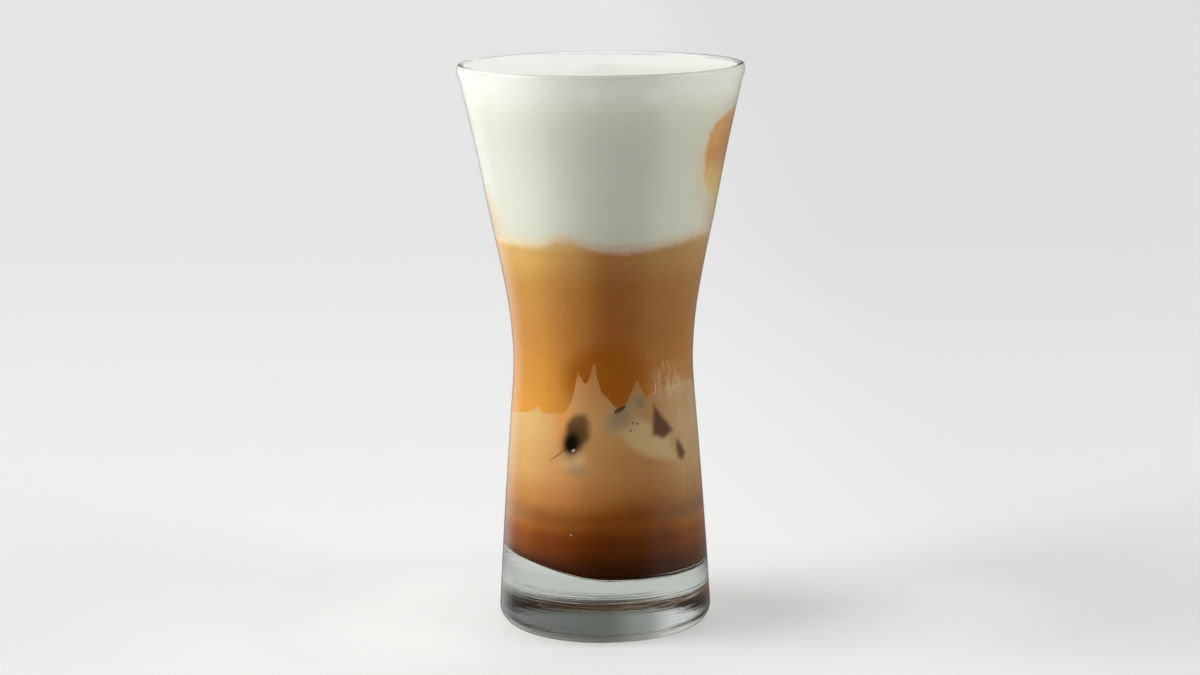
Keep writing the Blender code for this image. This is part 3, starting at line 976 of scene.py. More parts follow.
@dataclass
class Tumbler:
    """The waisted glass, turned finely, its inner floor slanting down to the right."""

    shape: TumblerShape
    finish: GlassFinish = field(default_factory=GlassFinish)
    steps: int = 240
    wall_rings: int = 60
    node: str = "tumbler"

    def arc(self, centre: Point, radius: float, start: float, end: float, steps: int) -> list[Point]:
        """Points of an arc in the section plane, with its angles in degrees."""
        angles = [math.radians(start + (end - start) * step / steps) for step in range(steps + 1)]
        return [(centre[0] + radius * math.cos(a), centre[1] + radius * math.sin(a)) for a in angles]

    def underside(self) -> list[Point]:
        """Section of the shallow punt, the flat foot ring and the rounded heel."""
        shape = self.shape
        heel_centre = shape.outer(shape.heel) - shape.heel
        edge = heel_centre - shape.foot_ring
        turn, left = 0.75, 0.8
        punt = [
            (edge * share, shape.punt * (1.0 - (1.0 - left) * (share / turn) ** 4))
            for share in (0.0, 0.3, 0.5, 0.62, turn)
        ]
        ease = [
            (edge * share, shape.punt * left * (1.0 - share) / (1.0 - turn))
            for share in (0.83, 0.9, 0.96)
        ]
        heel = self.arc((heel_centre, shape.heel), shape.heel, -90.0, 0.0, 14)
        return [*punt, *ease, (edge, 0.0), *heel]

    def rim(self) -> list[Point]:
        """Section of the bead, which swells softly out of the wall and rounds over to the inside."""
        shape = self.shape
        foot, top = shape.height - shape.bead_foot, shape.height - shape.lip_half_height
        points = []
        for step in range(1, 10):
            share = step / 10
            height = foot + (top - foot) * share
            swell = shape.bead_swell * math.sin(math.pi * share**1.3)
            points.append((min(shape.outer(height) + swell, shape.bead_radius), height))
        half = (shape.bead_radius - shape.inner(top)) / 2.0
        for across, up in self.arc((0.0, 0.0), 1.0, 0.0, 180.0, 20):
            points.append((shape.bead_radius + (across - 1.0) * half, top + up * shape.lip_half_height))
        return points

    def section(self) -> list[Point]:
        """Closed section from the axis under the base to the axis on the floor."""
        shape = self.shape
        head = shape.height - shape.bead_foot
        rings = self.wall_rings
        heights = [shape.heel + (head - shape.heel) * i / rings for i in range(1, rings + 1)]
        fillet_height = shape.floor + shape.fillet
        fillet_centre = (shape.inner(fillet_height) - shape.fillet, fillet_height)
        inside = [h for h in reversed(heights) if h > fillet_height + 0.0008]
        return [
            *self.underside(),
            *[(shape.outer(h), h) for h in heights],
            *self.rim(),
            *[(shape.inner(h), h) for h in inside],
            *self.arc(fillet_centre, shape.fillet, 0.0, -90.0, 10),
            *[(fillet_centre[0] * share, shape.floor) for share in (0.86, 0.72, 0.58, 0.44, 0.3, 0.15, 0.0)],
        ]

    def slant(self, piece: bpy.types.Object) -> None:
        """Tips the floor over and keeps the wall above it on the inner radius."""
        shape = self.shape
        places = Workshop.coordinates(piece.data)
        radius = np.hypot(places[:, 0], places[:, 1])
        height = places[:, 2]
        wall = shape.inner_of(height)
        inside = (height > shape.floor - 1e-6) & (height < shape.slope_fades_by) & (radius < wall + 1e-5)
        lifted = height + shape.lift(places[:, 0], height)
        scale = np.where(inside, shape.inner_of(lifted) / wall, 1.0)
        places[:, 0] *= scale
        places[:, 1] *= scale
        places[:, 2] = np.where(inside, lifted, height)
        Workshop.move_vertices(piece.data, places)

    def build(self) -> bpy.types.Object:
        """Turns the glass, slants its floor and dresses it.

        Returns:
            The glass.
        """
        piece = Workshop.turn("tumbler_glass", self.section(), self.steps)
        self.slant(piece)
        piece.data.materials.append(self.finish.build())
        Workshop.place(piece, Slot.GLASS, self.node)
        return piece


@dataclass
class Layer:
    """One layer of the drink: a turned drum fitted between two surfaces and the wall."""

    name: str
    node: str
    slot: Slot
    shape: TumblerShape
    under: Surface
    over: Surface
    finish: LiquidFinish
    tuck: float = 0.0
    reach: float = 0.00015
    steps: int = 360
    floor_rings: int = 8
    side_rings: int = 40
    top_rings: int = 10
    inward_mm: float = 8.0

    def drum(self) -> bpy.types.Object:
        """A drum of radius 1 and height 1, its rings closer towards the wall."""
        floor = [(math.sin(0.5 * math.pi * i / self.floor_rings), 0.0) for i in range(self.floor_rings)]
        side = [(1.0, i / self.side_rings) for i in range(self.side_rings + 1)]
        top = [(math.sin(0.5 * math.pi * i / self.top_rings), 1.0) for i in reversed(range(self.top_rings))]
        piece = Workshop.turn(self.name, [*floor, *side, *top], self.steps)
        bpy.ops.object.mode_set(mode="EDIT")
        bpy.ops.mesh.select_mode(type="EDGE")
        bpy.ops.mesh.select_all(action="DESELECT")
        bpy.ops.mesh.edges_select_sharp(sharpness=math.radians(60.0))
        bpy.ops.mesh.mark_sharp()
        bpy.ops.object.mode_set(mode="OBJECT")
        return piece

    def fit(self, piece: bpy.types.Object) -> None:
        """Moves the drum's vertices to the layer's surfaces and just into the wall."""
        places = Workshop.coordinates(piece.data)
        share = np.minimum(np.hypot(places[:, 0], places[:, 1]), 1.0)
        angle = np.arctan2(places[:, 0], -places[:, 1])
        azimuth = np.degrees(angle)
        low = self.under(azimuth, share) - self.tuck
        high = self.over(azimuth, share)
        height = low + (high - low) * places[:, 2]
        held = np.maximum(height, self.shape.floor + self.shape.fillet)
        sink = self.reach * (0.55 + 0.45 * places[:, 2]) if self.tuck else self.reach
        radius = share * (self.shape.inner_of(held) + sink)
        inward = self.inward_mm * (1.0 - share)
        Workshop.note(piece.data, "rise_mm", (height - low - self.tuck) * 1000.0 - inward)
        Workshop.note(piece.data, "drop_mm", (high - height) * 1000.0)
        fitted = np.column_stack((radius * np.sin(angle), -radius * np.cos(angle), height))
        Workshop.move_vertices(piece.data, fitted)

    def build(self) -> bpy.types.Object:
        """Turns the drum, fits it and dresses it.

        Returns:
            The layer.
        """
        piece = self.drum()
        self.fit(piece)
        piece.data.materials.append(self.finish.build())
        Workshop.place(piece, self.slot, self.node)
        return piece


@dataclass
class Splash:
    """Skin of coffee thrown up the wall: a broad lobe with a short drip below."""

    shape: TumblerShape
    finish: LiquidFinish
    azimuth: float = 82.0
    foot: float = 0.1150
    waist: float = 0.1209
    top: float = 0.1465
    half_width: float = 36.0
    narrower_below: float = 0.14
    drip: float = 9.0
    least_width: float = 0.4
    ripples: tuple[Point, ...] = ((0.02, 900.0), (0.012, 2300.0))
    far_ripple: Wave = (0.16, 420.0, 1.0)
    bare: float = 0.82
    fade_width: float = 5.0
    depth: float = 0.0015
    reach: float = 0.00024
    edge_sink: float = 0.0001
    columns: int = 48
    rows: int = 60

    def width_at(self, height: np.ndarray) -> np.ndarray:
        """Half width in degrees at heights.

        Args:
            height: heights above the table, in metres.

        Returns:
            The half widths.
        """
        share = np.clip((height - self.waist) / (self.top - self.waist), 0.0, 1.0)
        below = np.clip((height - self.foot) / (self.waist - self.foot), 0.0, 1.0)
        lobe = np.sqrt(np.maximum(0.0, 1.0 - np.abs(2.0 * share - 1.0) ** 3))
        lobe = self.half_width * lobe * (1.0 - self.narrower_below * (1.0 - share))
        drip = self.drip * np.sqrt(below) * (1.0 - share) ** 2
        return np.maximum(np.maximum(lobe, drip), self.least_width)

    def raggedness(self, height: np.ndarray, across: np.ndarray) -> np.ndarray:
        """How far the uneven edge widens the splash, more on the side that the front hides.

        Args:
            height: heights above the table, in metres.
            across: places across the splash, from -1 to 1.

        Returns:
            Factors for the width.
        """
        even = 1.0 + sum(size * np.sin(height * pace) for size, pace in self.ripples)
        size, pace, start = self.far_ripple
        return even + size * np.maximum(across, 0.0) * np.sin(height * pace + start)

    def build(self) -> bpy.types.Object:
        """Makes a grid, bends it onto the wall, thickens it inwards and dresses it.

        Returns:
            The splash.
        """
        Workshop.deselect()
        bpy.ops.mesh.primitive_grid_add(x_subdivisions=self.columns, y_subdivisions=self.rows, size=2.0)
        piece = bpy.context.object
        piece.name = "coffee_splash"
        piece.data.name = "coffee_splash"
        places = Workshop.coordinates(piece.data)
        across, share = places[:, 0], 0.5 + 0.5 * places[:, 1]
        height = self.foot + (self.top - self.foot) * share
        width = self.width_at(height)
        angle = np.radians(self.azimuth + across * width * self.raggedness(height, across))
        swell = 1.0 - np.abs(across) ** 7
        radius = self.shape.inner_of(height) + self.reach * swell - self.edge_sink * (1.0 - swell)
        within = (self.bare - np.abs(across)) * width / self.fade_width
        Workshop.note(piece.data, "edge", np.clip(within, 0.0, 1.0))
        bent = np.column_stack((radius * np.sin(angle), -radius * np.cos(angle), height))
        Workshop.move_vertices(piece.data, bent)
        thick = piece.modifiers.new("thickness", "SOLIDIFY")
        thick.thickness = self.depth
        thick.offset = -1.0
        bpy.ops.object.modifier_apply(modifier=thick.name)
        bpy.ops.object.shade_smooth()
        piece.data.materials.append(self.finish.build())
        Workshop.place(piece, Slot.COFFEE)
        return piece


@dataclass
class Bubbles:
    """Fine bubbles on the foam, most of them close to the rim."""

    shape: TumblerShape
    surfaces: DrinkSurfaces
    finish: LiquidFinish
    count: int = 160
    seed: int = 7
    smallest: float = 0.00016
    largest: float = 0.00050
    outermost: float = 0.985
    spread: float = 0.5
    sunk: float = 0.4

    def build(self) -> bpy.types.Object:
        """Copies one small ball over the foam and joins the copies.

        Returns:
            The bubbles, as one piece.
        """
        rng = np.random.default_rng(self.seed)
        Workshop.deselect()
        bpy.ops.mesh.primitive_ico_sphere_add(subdivisions=2, radius=1.0)
        first = bpy.context.object
        balls = [first]
        for _ in range(self.count - 1):
            ball = first.copy()
            ball.data = first.data.copy()
            bpy.context.collection.objects.link(ball)
            balls.append(ball)
        for ball in balls:
            size = self.smallest + (self.largest - self.smallest) * float(rng.random()) ** 3
            azimuth = float(rng.uniform(-180.0, 180.0))
            share = self.outermost - self.spread * float(rng.random()) ** 2.5
            height = float(self.surfaces.foam(np.array([azimuth]), np.array([share]))[0])
            radius = share * float(self.shape.inner_of(np.array([height]))[0])
            angle = math.radians(azimuth)
            centre = (radius * math.sin(angle), -radius * math.cos(angle), height - self.sunk * size)
            ball.data.transform(Matrix.Translation(centre) @ Matrix.Scale(size, 4))
            ball.select_set(True)
        bpy.context.view_layer.objects.active = first
        bpy.ops.object.join()
        first.name = "foam_bubbles"
        first.data.name = "foam_bubbles"
        bpy.ops.object.shade_smooth()
        first.data.materials.clear()
        first.data.materials.append(self.finish.build())
        Workshop.place(first, Slot.FOAM)
        return first


@dataclass
class Studio:
    """Pale floor, soft lamps and the camera."""

    floor_colour: Colour = (0.90, 0.905, 0.91)
    sky: Colour = (0.125, 0.125, 0.117)
    tent: Stops = (
        (0.00, (0.17, 0.18, 0.17)),
        (0.04, (0.35, 0.36, 0.35)),
        (0.08, (0.80, 0.80, 0.80)),
        (0.11, (0.80, 0.80, 0.80)),
        (0.18, (0.26, 0.26, 0.26)),
        (0.30, (0.14, 0.14, 0.14)),
        (0.40, (0.03, 0.03, 0.03)),
        (0.50, (0.01, 0.01, 0.01)),
        (0.60, (0.03, 0.03, 0.03)),
        (0.70, (0.26, 0.26, 0.28)),
        (0.90, (0.22, 0.22, 0.22)),
        (1.00, (0.17, 0.18, 0.17)),
    )
    through: Stops = (
        (0.00, (0.17, 0.18, 0.17)),
        (0.04, (0.35, 0.36, 0.35)),
        (0.08, (0.80, 0.80, 0.80)),
        (0.11, (0.80, 0.80, 0.80)),
        (0.18, (0.30, 0.30, 0.30)),
        (0.25, (0.45, 0.44, 0.40)),
        (0.35, (0.45, 0.42, 0.34)),
        (0.50, (0.20, 0.16, 0.10)),
        (0.65, (0.32, 0.27, 0.20)),
        (0.75, (0.30, 0.29, 0.27)),
        (0.90, (0.22, 0.22, 0.22)),
        (1.00, (0.17, 0.18, 0.17)),
    )
    # Painted pools of light that glow on the floor and thin the shadows beside the glass, as (x, y, half
    # width, half depth, strength)
    painted_light_patches: tuple[tuple[float, float, float, float, float], ...] = (
        (-0.045, 0.004, 0.045, 0.052, 0.17),
        (-0.110, 0.004, 0.050, 0.050, 0.04),
        (0.095, 0.010, 0.045, 0.042, 0.08),
    )
    painted_patch_edge: Point = (1.25, 0.15)
    # Lamps, as (name, azimuth, elevation, strength, spread)
    lamps: tuple[tuple[str, float, float, float, float], ...] = (
        ("key", -80.0, 25.0, 2.25, 50.0),
        ("fill", 80.0, 25.0, 1.08, 50.0),
        ("top", 0.0, 90.0, 1.20, 45.0),
    )
    floor_size: float = 12.0
    floor_drop: float = 0.00008
    far_shade: float = 0.915
    far_band: Point = (0.05, 0.8)
    side_shade: float = 0.93
    side_band: Point = (0.02, 0.14)
    distance: float = 0.7899
    eye: float = 0.2275
    lens: float = 86.4
    pitch: float = 10.515
    roll: float = -0.5
    aside: float = -0.00083

    def floor(self) -> bpy.types.Object:
        """A wide pale floor, just under the glass, with painted pools of light that thin the shadows."""
        Workshop.deselect()
        bpy.ops.mesh.primitive_plane_add(size=self.floor_size, location=(0.0, 0.0, -self.floor_drop))
        floor = bpy.context.object
        floor.name = "studio_floor"
        bpy.ops.object.mode_set(mode="EDIT")
        bpy.ops.mesh.subdivide(number_cuts=4)
        bpy.ops.object.mode_set(mode="OBJECT")
        material = bpy.data.materials.new("studio_floor")
        material.use_nodes = True
        sheet = Sheet(material.node_tree)
        shader = sheet.node("ShaderNodeBsdfPrincipled")
        split = sheet.node("ShaderNodeSeparateXYZ")
        sheet.feed(split.inputs[0], sheet.place())
        away = sheet.ease(split.outputs["Y"], *self.far_band)
        far = tuple(value * self.far_shade for value in self.floor_colour)
        colour = sheet.mix(away, self.floor_colour, far)
        dim = (self.side_shade,) * 3
        aside = sheet.ease(split.outputs["X"], *self.side_band)
        colour = sheet.mix(aside, colour, sheet.mix(1.0, colour, dim, "MULTIPLY"))
        sheet.feed(shader.inputs["Base Color"], colour)
        shader.inputs["Roughness"].default_value = 0.9
        shader.inputs["Specular IOR Level"].default_value = 0.0
        # Painted light: soft glowing pools on the floor that thin the shadows
        painted_shine: object = 0.0
        for x, y, half_width, half_depth, strength in self.painted_light_patches:
            across = sheet.math("DIVIDE", sheet.math("SUBTRACT", split.outputs["X"], x), half_width)
            along = sheet.math("DIVIDE", sheet.math("SUBTRACT", split.outputs["Y"], y), half_depth)
            square = sheet.math("ADD", sheet.math("POWER", across, 2.0), sheet.math("POWER", along, 2.0))
            soft = sheet.ease(sheet.math("SQRT", square), *self.painted_patch_edge)
            painted_shine = sheet.math("ADD", painted_shine, sheet.math("MULTIPLY", soft, strength))
        sheet.feed(shader.inputs["Emission Color"], (1.0, 1.0, 1.0))
        sheet.feed(shader.inputs["Emission Strength"], painted_shine)
        out = sheet.node("ShaderNodeOutputMaterial")
        sheet.feed(out.inputs["Surface"], shader.outputs["BSDF"])
        floor.data.materials.append(material)
        floor.visible_diffuse = False
        floor.visible_glossy = False
        return floor

    def lamp(self, name: str, azimuth: float, elevation: float, strength: float, spread: float) -> None:
        """A soft distant lamp.

        Args:
            name: name of the lamp.
            azimuth: where it stands round the glass, in degrees from the front.
            elevation: how high it stands, in degrees.
            strength: light on a surface that faces it.
            spread: how wide it looks, in degrees.
        """
        data = bpy.data.lights.new(name, "SUN")
        data.energy = strength
        data.angle = math.radians(spread)
        lamp = bpy.data.objects.new(name, data)
        side, rise = math.radians(azimuth), math.radians(elevation)
        towards = Vector(
            (math.sin(side) * math.cos(rise), -math.cos(side) * math.cos(rise), math.sin(rise))
        )
        lamp.rotation_euler = towards.to_track_quat("Z", "Y").to_euler()
        bpy.context.collection.objects.link(lamp)

    def world(self) -> None:
        """A studio tent: even for soft light, but dark in front and pale behind for reflections."""
        world = bpy.data.worlds.new("studio")
        bpy.context.scene.world = world
        world.use_nodes = True
        sheet = Sheet(world.node_tree)
        split = sheet.node("ShaderNodeSeparateXYZ")
        sheet.feed(split.inputs[0], sheet.node("ShaderNodeTexCoord").outputs["Generated"])
        back = sheet.math("MULTIPLY", split.outputs["Y"], -1.0)
        angle = sheet.math("DIVIDE", sheet.math("ARCTAN2", split.outputs["X"], back), 2.0 * math.pi)
        turn = sheet.math("ADD", angle, 0.5)
        path = sheet.node("ShaderNodeLightPath")
        behind_glass = path.outputs["Is Transmission Ray"]
        seen = sheet.mix(behind_glass, sheet.ramp(turn, self.tent), sheet.ramp(turn, self.through))
        colour = sheet.mix(path.outputs["Is Diffuse Ray"], seen, self.sky)
        background = sheet.node("ShaderNodeBackground")
        sheet.feed(background.inputs["Color"], colour)
        out = sheet.node("ShaderNodeOutputWorld")
        sheet.feed(out.inputs["Surface"], background.outputs["Background"])

    def camera(self) -> None:
        """The photograph's view: a long lens, a little above the rim, leaning half a degree."""
        data = bpy.data.cameras.new("camera")
        data.lens = self.lens
        data.clip_start = 0.01
        camera = bpy.data.objects.new("camera", data)
        stand = Matrix.Translation((self.aside, -self.distance, self.eye))
        tilt = Matrix.Rotation(math.radians(90.0 - self.pitch), 4, "X")
        lean = Matrix.Rotation(math.radians(self.roll), 4, "Z")
        camera.matrix_world = stand @ tilt @ lean
        bpy.context.collection.objects.link(camera)
        bpy.context.scene.camera = camera

    def build(self) -> None:
        """Sets the floor, the lamps, the sky and the camera."""
        self.floor()
        for settings in self.lamps:
            self.lamp(*settings)
        self.world()
        self.camera()
        bpy.context.scene.view_settings.view_transform = "Standard"
        log.info("studio: floor, %d lamps, sky and camera", len(self.lamps))


# Tints round the glass over the share of a full turn: 0.25 is at the left, 0.5 in front, 0.75 at the right.
# Those of the coffee, milk, foam and pool are painted light and shade: darkest in front, lighter at the
# sides and behind
PAINTED_LIGHT_ROUND_COFFEE = (
    (0.00, (0.86, 0.92, 0.95)),
    (0.25, (0.92, 1.08, 1.00)),
    (0.36, (0.90, 1.09, 1.06)),
    (0.45, (0.77, 0.83, 0.83)),
    (0.51, (0.56, 0.50, 0.52)),
    (0.60, (0.60, 0.64, 0.62)),
    (0.72, (0.70, 0.80, 0.78)),
    (1.00, (0.86, 0.92, 0.95)),
)
PAINTED_LIGHT_ROUND_MILK = (
    (0.00, (0.80, 0.82, 0.80)),
    (0.25, (0.74, 0.80, 0.72)),
    (0.35, (0.77, 0.83, 0.74)),
    (0.42, (0.74, 0.71, 0.66)),
    (0.50, (0.60, 0.55, 0.47)),
    (0.58, (0.50, 0.46, 0.40)),
    (0.68, (0.58, 0.65, 0.71)),
    (0.75, (0.64, 0.76, 0.84)),
    (1.00, (0.80, 0.82, 0.80)),
)
PAINTED_LIGHT_ROUND_FOAM = (
    (0.00, (1.00, 1.00, 1.00)),
    (0.30, (0.99, 0.98, 0.97)),
    (0.40, (0.965, 0.965, 0.95)),
    (0.51, (0.89, 0.895, 0.86)),
    (0.60, (0.935, 0.94, 0.90)),
    (0.75, (1.02, 1.03, 1.00)),
    (1.00, (1.00, 1.00, 1.00)),
)
# The splash's tint only turns it darker and more orange towards its right-hand side
AROUND_SPLASH = (
    (0.00, (1.00, 1.00, 1.00)),
    (0.66, (1.00, 1.00, 1.00)),
    (0.71, (0.92, 0.84, 0.76)),
    (0.76, (0.80, 0.66, 0.56)),
    (1.00, (1.00, 1.00, 1.00)),
)
PAINTED_LIGHT_ROUND_POOL = (
    (0.00, (2.60, 3.40, 3.60)),
    (0.12, (2.40, 3.00, 3.20)),
    (0.25, (1.50, 1.60, 1.40)),
    (0.34, (1.55, 1.68, 1.30)),
    (0.40, (1.12, 1.06, 1.00)),
    (0.50, (0.68, 0.65, 0.55)),
    (0.60, (0.80, 0.82, 0.68)),
    (0.66, (1.35, 1.55, 1.25)),
    (0.75, (1.60, 1.90, 1.80)),
    (0.88, (2.40, 3.00, 3.20)),
    (1.00, (2.60, 3.40, 3.60)),
)
# Where foam and coffee blend, and where the milky layer sinks into the pool, with painted shade darkest in
# front and painted light at the sides and behind
CREST = (
    (0.00, (0.80, 0.70, 0.50)),
    (0.25, (0.82, 0.72, 0.50)),
    (0.38, (0.82, 0.70, 0.48)),
    (0.45, (0.72, 0.60, 0.44)),
    (0.52, (0.60, 0.48, 0.36)),
    (0.60, (0.67, 0.57, 0.43)),
    (0.72, (0.76, 0.67, 0.50)),
    (1.00, (0.80, 0.70, 0.50)),
)
SEAM = (
    (0.00, (0.34, 0.13, 0.03)),
    (0.33, (0.35, 0.165, 0.052)),
    (0.39, (0.285, 0.100, 0.019)),
    (0.45, (0.26, 0.085, 0.016)),
    (0.50, (0.22, 0.065, 0.009)),
    (0.56, (0.19, 0.058, 0.009)),
    (0.61, (0.22, 0.085, 0.022)),
    (0.68, (0.25, 0.125, 0.050)),
    (1.00, (0.34, 0.13, 0.03)),
)


# Milk that runs down the wall in fine streaks, at the right of the shoreline
STREAK_WHITE = (0.98, 0.88, 0.66)


def foam_finish() -> LiquidFinish:
    """Dense white milk foam, faintly green where its painted shade is deepest, tan where it meets the
    coffee, painted lighter towards the rim, with two painted highlights.
    """
    tan, painted_shine = (0.72, 0.50, 0.28), (0.97, 0.97, 0.95)
    return LiquidFinish(
        name="milk_foam",
        low=108.0,
        high=156.0,
        # Painted light: the foam is lighter towards the rim, where light falls in from above
        by_height=(
            (0.00, (0.755, 0.755, 0.675)),
            (0.20, (0.77, 0.79, 0.72)),
            (0.60, (0.77, 0.79, 0.72)),
            (0.70, (0.785, 0.80, 0.73)),
            (0.77, (0.815, 0.83, 0.76)),
            (0.84, (0.875, 0.885, 0.82)),
            (0.92, (0.915, 0.925, 0.875)),
            (1.00, (0.90, 0.91, 0.875)),
        ),
        by_azimuth=PAINTED_LIGHT_ROUND_FOAM,
        mottle=0.012,
        streak=0.012,
        roughness=0.8,
        bump=0.25,
        bottom_tint=(CREST, 2.6),
        marks=(
            Spot(-84.0, 114.0, 16.0, 9.0, tan, 0.75, softness=0.7),
            # Two painted highlights on the foam by the rim
            Spot(22.3, 150.6, 3.6, 2.2, painted_shine, 0.55, softness=0.8),
            Spot(-4.4, 150.8, 2.6, 1.6, painted_shine, 0.3, softness=0.8),
            Spot(83.0, 131.0, 31.0, 16.5, tan, 0.45, softness=0.35),
            Spot(82.0, 116.0, 15.0, 9.0, tan, 0.5, softness=0.6),
        ),
        warp=0.6,
    )


def coffee_finish() -> LiquidFinish:
    """Golden coffee with milk, painted lighter and more golden towards the left and painted darker in front,
    with fine upright streaks.
    """
    milk = (0.46, 0.245, 0.10)
    return LiquidFinish(
        name="golden_coffee",
        low=60.0,
        high=112.0,
        by_height=(
            (0.00, (0.76, 0.30, 0.05)),
            (0.25, (0.70, 0.275, 0.047)),
            (0.45, (0.645, 0.255, 0.056)),
            (0.70, (0.66, 0.285, 0.073)),
            (0.90, (0.78, 0.40, 0.13)),
            (1.00, (0.88, 0.56, 0.29)),
        ),
        by_azimuth=PAINTED_LIGHT_ROUND_COFFEE,
        mottle=0.03,
        streak=0.05,
        top_tint=(CREST, 2.0),
        grain=0.09,
        marks=(
            Spot(2.0, 72.8, 28.0, 9.0, (0.34, 0.105, 0.008), 0.85, softness=0.35),
            Spot(58.0, 71.5, 20.0, 4.0, (0.50, 0.36, 0.20), 0.15, softness=0.7),
            Facet(
                ((28.0, 60.0), (50.0, 60.0), (52.0, 69.4), (43.0, 69.4), (34.0, 68.4), (28.0, 66.6)),
                milk, 1.0, 0.25,
            ),
            Facet(((-8.0, 74.4), (-4.2, 74.4), (-5.9, 77.4)), milk, 1.0, 0.15),
            Veil(Spot(49.0, 71.2, 15.0, 4.6, STREAK_WHITE, 0.85, softness=0.5), 200.0, 6.0, 0.56, 0.66),
        ),
        warp=0.5,
    )


def milk_finish() -> LiquidFinish:
    """Pale milky coffee in front of the ice, darker towards the pool, with dark windows, painted shade in
    front and a painted glint.
    """
    black, brown, gold = (0.006, 0.003, 0.002), (0.15, 0.080, 0.030), (0.72, 0.33, 0.075)
    purple, olive, cream = (0.060, 0.025, 0.014), (0.37, 0.28, 0.155), (0.57, 0.42, 0.22)
    patch, slate, maroon = (0.66, 0.49, 0.25), (0.25, 0.20, 0.125), (0.085, 0.032, 0.012)
    golden, amber = (0.70, 0.32, 0.05), (0.47, 0.205, 0.045)
    return LiquidFinish(
        name="milky_coffee",
        low=32.0,
        high=77.0,
        by_height=(
            (0.00, (0.42, 0.15, 0.03)),
            (0.12, (0.66, 0.29, 0.09)),
            (0.35, (0.84, 0.46, 0.19)),
            (0.60, (0.89, 0.545, 0.245)),
            (1.00, (0.82, 0.43, 0.165)),
        ),
        by_azimuth=PAINTED_LIGHT_ROUND_MILK,
        mottle=0.05,
        streak=0.02,
        bottom_tint=(SEAM, 7.0),
        grain=0.05,
        marks=(
            Facet(((-37.0, 65.0), (-28.0, 51.0), (-21.0, 55.0), (-21.5, 66.0)), gold, 0.65, 1.8),
            Facet(
                ((-92.0, 58.6), (-60.0, 61.3), (-50.0, 62.7), (-44.0, 66.0), (-92.0, 67.0)),
                golden, 1.0, 0.25,
            ),
            Facet(((-24.0, 73.0), (-12.0, 73.5), (-12.0, 79.0), (-24.0, 79.0)), amber, 1.0, 0.2),
            Facet(
                (
                    (2.5, 63.6), (9.0, 58.0), (17.0, 53.4), (30.0, 50.4), (50.0, 48.4), (62.0, 47.6),
                    (56.0, 52.6), (44.0, 56.0), (36.0, 63.0), (26.0, 66.6), (14.0, 66.2),
                ),
                cream, 0.85, 1.5,
            ),
            Spot(13.5, 62.4, 12.0, 4.6, olive, 0.75, lean=1.2, softness=0.6),
            Spot(10.5, 62.2, 6.0, 3.0, slate, 0.6, lean=1.0, softness=0.8),
            Spot(24.6, 65.6, 3.2, 1.4, slate, 0.8, softness=0.6),
            Ribbon(9.0, 27.0, 64.6, 67.2, 0.5, 1.4, slate, 0.55),
            Spot(-20.0, 50.2, 8.0, 3.0, patch, 0.6, softness=0.5),
            Spot(-17.0, 47.3, 6.4, 1.6, slate, 0.5, softness=0.8),
            Facet(
                (
                    (-25.4, 53.0), (-15.4, 53.2), (-9.1, 56.4), (-9.3, 60.6), (-12.0, 62.9),
                    (-19.5, 62.7), (-24.8, 60.0),
                ),
                brown, 0.92, 1.2,
            ),
            Spot(-20.3, 55.4, 6.4, 4.2, black, 0.7, lean=0.5, softness=0.95),
            Spot(-21.0, 54.7, 4.6, 2.7, black, 1.0, lean=0.2, softness=0.6),
            Ribbon(6.8, 14.4, 63.4, 64.9, 0.2, 1.6, purple, 0.9),
            Facet(((46.0, 69.4), (92.0, 69.2), (92.0, 76.0), (46.0, 76.0)), amber, 1.0, 0.3),
            Veil(Spot(62.0, 69.2, 26.0, 3.0, cream, 0.75, softness=0.6), 120.0, 4.0, 0.50, 0.62),
            Veil(Spot(49.0, 70.0, 15.0, 4.6, STREAK_WHITE, 0.85, softness=0.5), 200.0, 6.0, 0.54, 0.64),
            Veil(Spot(66.0, 53.0, 16.0, 16.0, (0.70, 0.54, 0.38), 0.35, softness=0.7), 110.0, 12.0),
            Facet(((32.4, 56.5), (41.0, 55.0), (49.5, 56.9), (34.6, 64.6)), maroon, 0.92, 1.0),
            Facet(((51.4, 52.6), (53.4, 48.6), (58.8, 48.0), (61.2, 49.8), (53.6, 54.2)), maroon, 0.85, 0.9),
            Spot(19.2, 60.4, 0.6, 0.26, black, 0.85, softness=0.5),
            Spot(22.3, 60.0, 0.7, 0.30, black, 0.9, softness=0.5),
            Spot(17.6, 58.3, 0.6, 0.26, black, 0.85, softness=0.5),
            Spot(15.6, 59.6, 0.4, 0.2, black, 0.5, softness=0.5),
            Ribbon(-36.8, -24.6, 49.2, 53.2, 0.0, 0.45, (0.08, 0.035, 0.012), 0.7),
            # A painted glint on the left window
            Spot(-19.6, 52.9, 0.8, 0.32, (0.95, 0.9, 0.8), 0.7, lean=1.8, softness=0.6),
        ),
        warp=0.22,
    )


def pool_finish() -> LiquidFinish:
    """Dark coffee on the floor of the glass, painted darker in front and lighter behind, with a paler
    painted underside standing for light through the base.
    """
    return LiquidFinish(
        name="dark_coffee",
        low=15.0,
        high=34.0,
        by_height=(
            (0.00, (0.045, 0.014, 0.005)),
            (0.25, (0.065, 0.018, 0.005)),
            (0.60, (0.16, 0.04, 0.006)),
            (1.00, (0.32, 0.10, 0.018)),
        ),
        by_azimuth=PAINTED_LIGHT_ROUND_POOL,
        mottle=0.05,
        streak=0.03,
        top_tint=(SEAM, 3.5),
        # Painted light: the underside is a paler brown, for light that comes up through the base
        underside=(0.50, 0.36, 0.20),
        marks=(
            Spot(-20.8, 29.5, 0.5, 0.25, (0.75, 0.62, 0.45), 0.6, softness=0.6),
        ),
    )


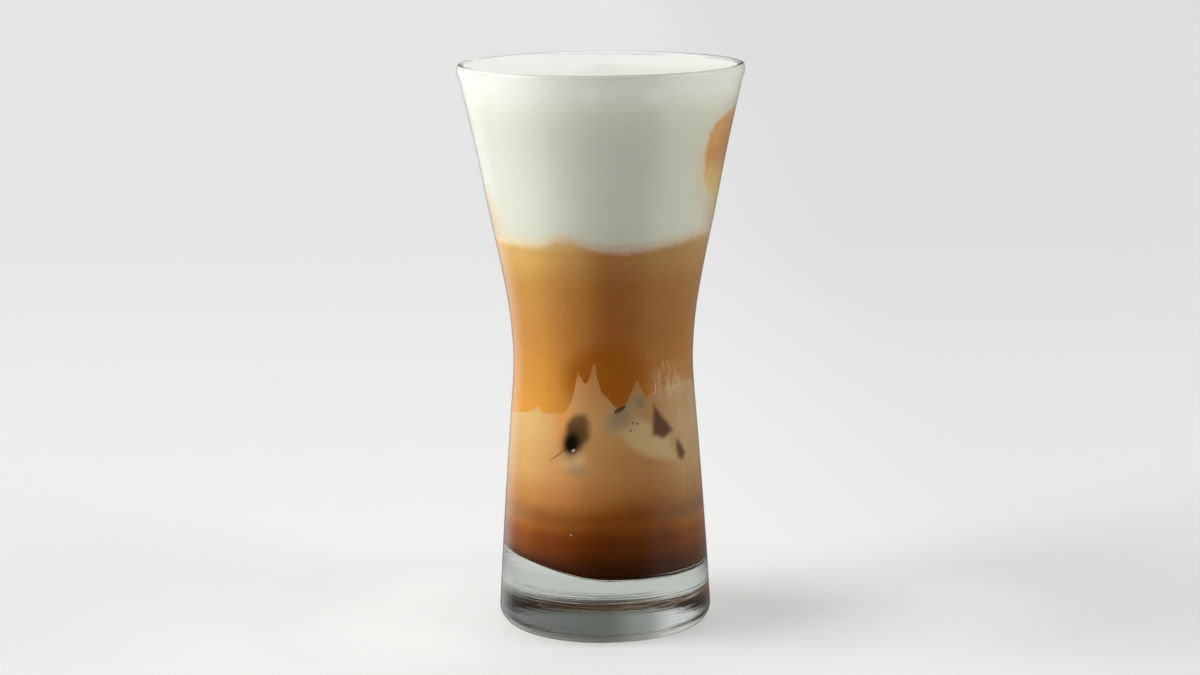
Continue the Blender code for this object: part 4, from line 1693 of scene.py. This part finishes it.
def bubble_finish() -> LiquidFinish:
    """Thin-skinned bubbles, as pale as the foam."""
    return LiquidFinish(
        name="foam_bubbles",
        low=108.0,
        high=156.0,
        by_height=((0.00, (0.93, 0.93, 0.88)), (1.00, (0.96, 0.96, 0.93))),
        by_azimuth=PAINTED_LIGHT_ROUND_FOAM,
        mottle=0.02,
        roughness=0.3,
        specular=0.4,
    )


def splash_finish() -> LiquidFinish:
    """Thin coffee on the wall: orange-brown above, tan below."""
    return LiquidFinish(
        name="coffee_splash",
        low=106.0,
        high=146.0,
        by_height=(
            (0.00, (0.74, 0.48, 0.24)),
            (0.35, (0.82, 0.68, 0.35)),
            (0.50, (0.80, 0.58, 0.25)),
            (0.66, (0.70, 0.37, 0.115)),
            (0.85, (0.72, 0.42, 0.17)),
            (1.00, (0.80, 0.60, 0.38)),
        ),
        by_azimuth=AROUND_SPLASH,
        mottle=0.10,
        streak=0.22,
        fade=(0.80, 0.73, 0.56),
        warp=3.0,
    )


def build_drink(shape: TumblerShape) -> None:
    """Builds the layers from the floor of the glass to the foam.

    Args:
        shape: sizes of the glass.
    """
    surfaces = DrinkSurfaces(shape)
    Layer("pool", "dark_pool", Slot.POOL, shape, surfaces.floor, surfaces.pool, pool_finish()).build()
    Layer(
        "milky_swirl", "milky_layer", Slot.MILK, shape, surfaces.pool, surfaces.milk, milk_finish(),
        tuck=0.001, steps=720,
    ).build()
    Layer(
        "coffee_body", "golden_coffee", Slot.COFFEE, shape, surfaces.milk, surfaces.coffee, coffee_finish(),
        tuck=0.001, steps=720,
    ).build()
    Layer(
        "foam_cap", "milk_foam", Slot.FOAM, shape, surfaces.coffee, surfaces.foam, foam_finish(),
        tuck=0.001, top_rings=40,
    ).build()
    Splash(shape, splash_finish()).build()
    Bubbles(shape, surfaces, bubble_finish()).build()


def main() -> None:
    """Builds the filled glass and its studio, piece by piece."""
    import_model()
    shape = TumblerShape()
    Tumbler(shape).build()
    build_drink(shape)
    Studio().build()


if __name__ == "__main__":
    logging.basicConfig(level=logging.INFO)
    main()
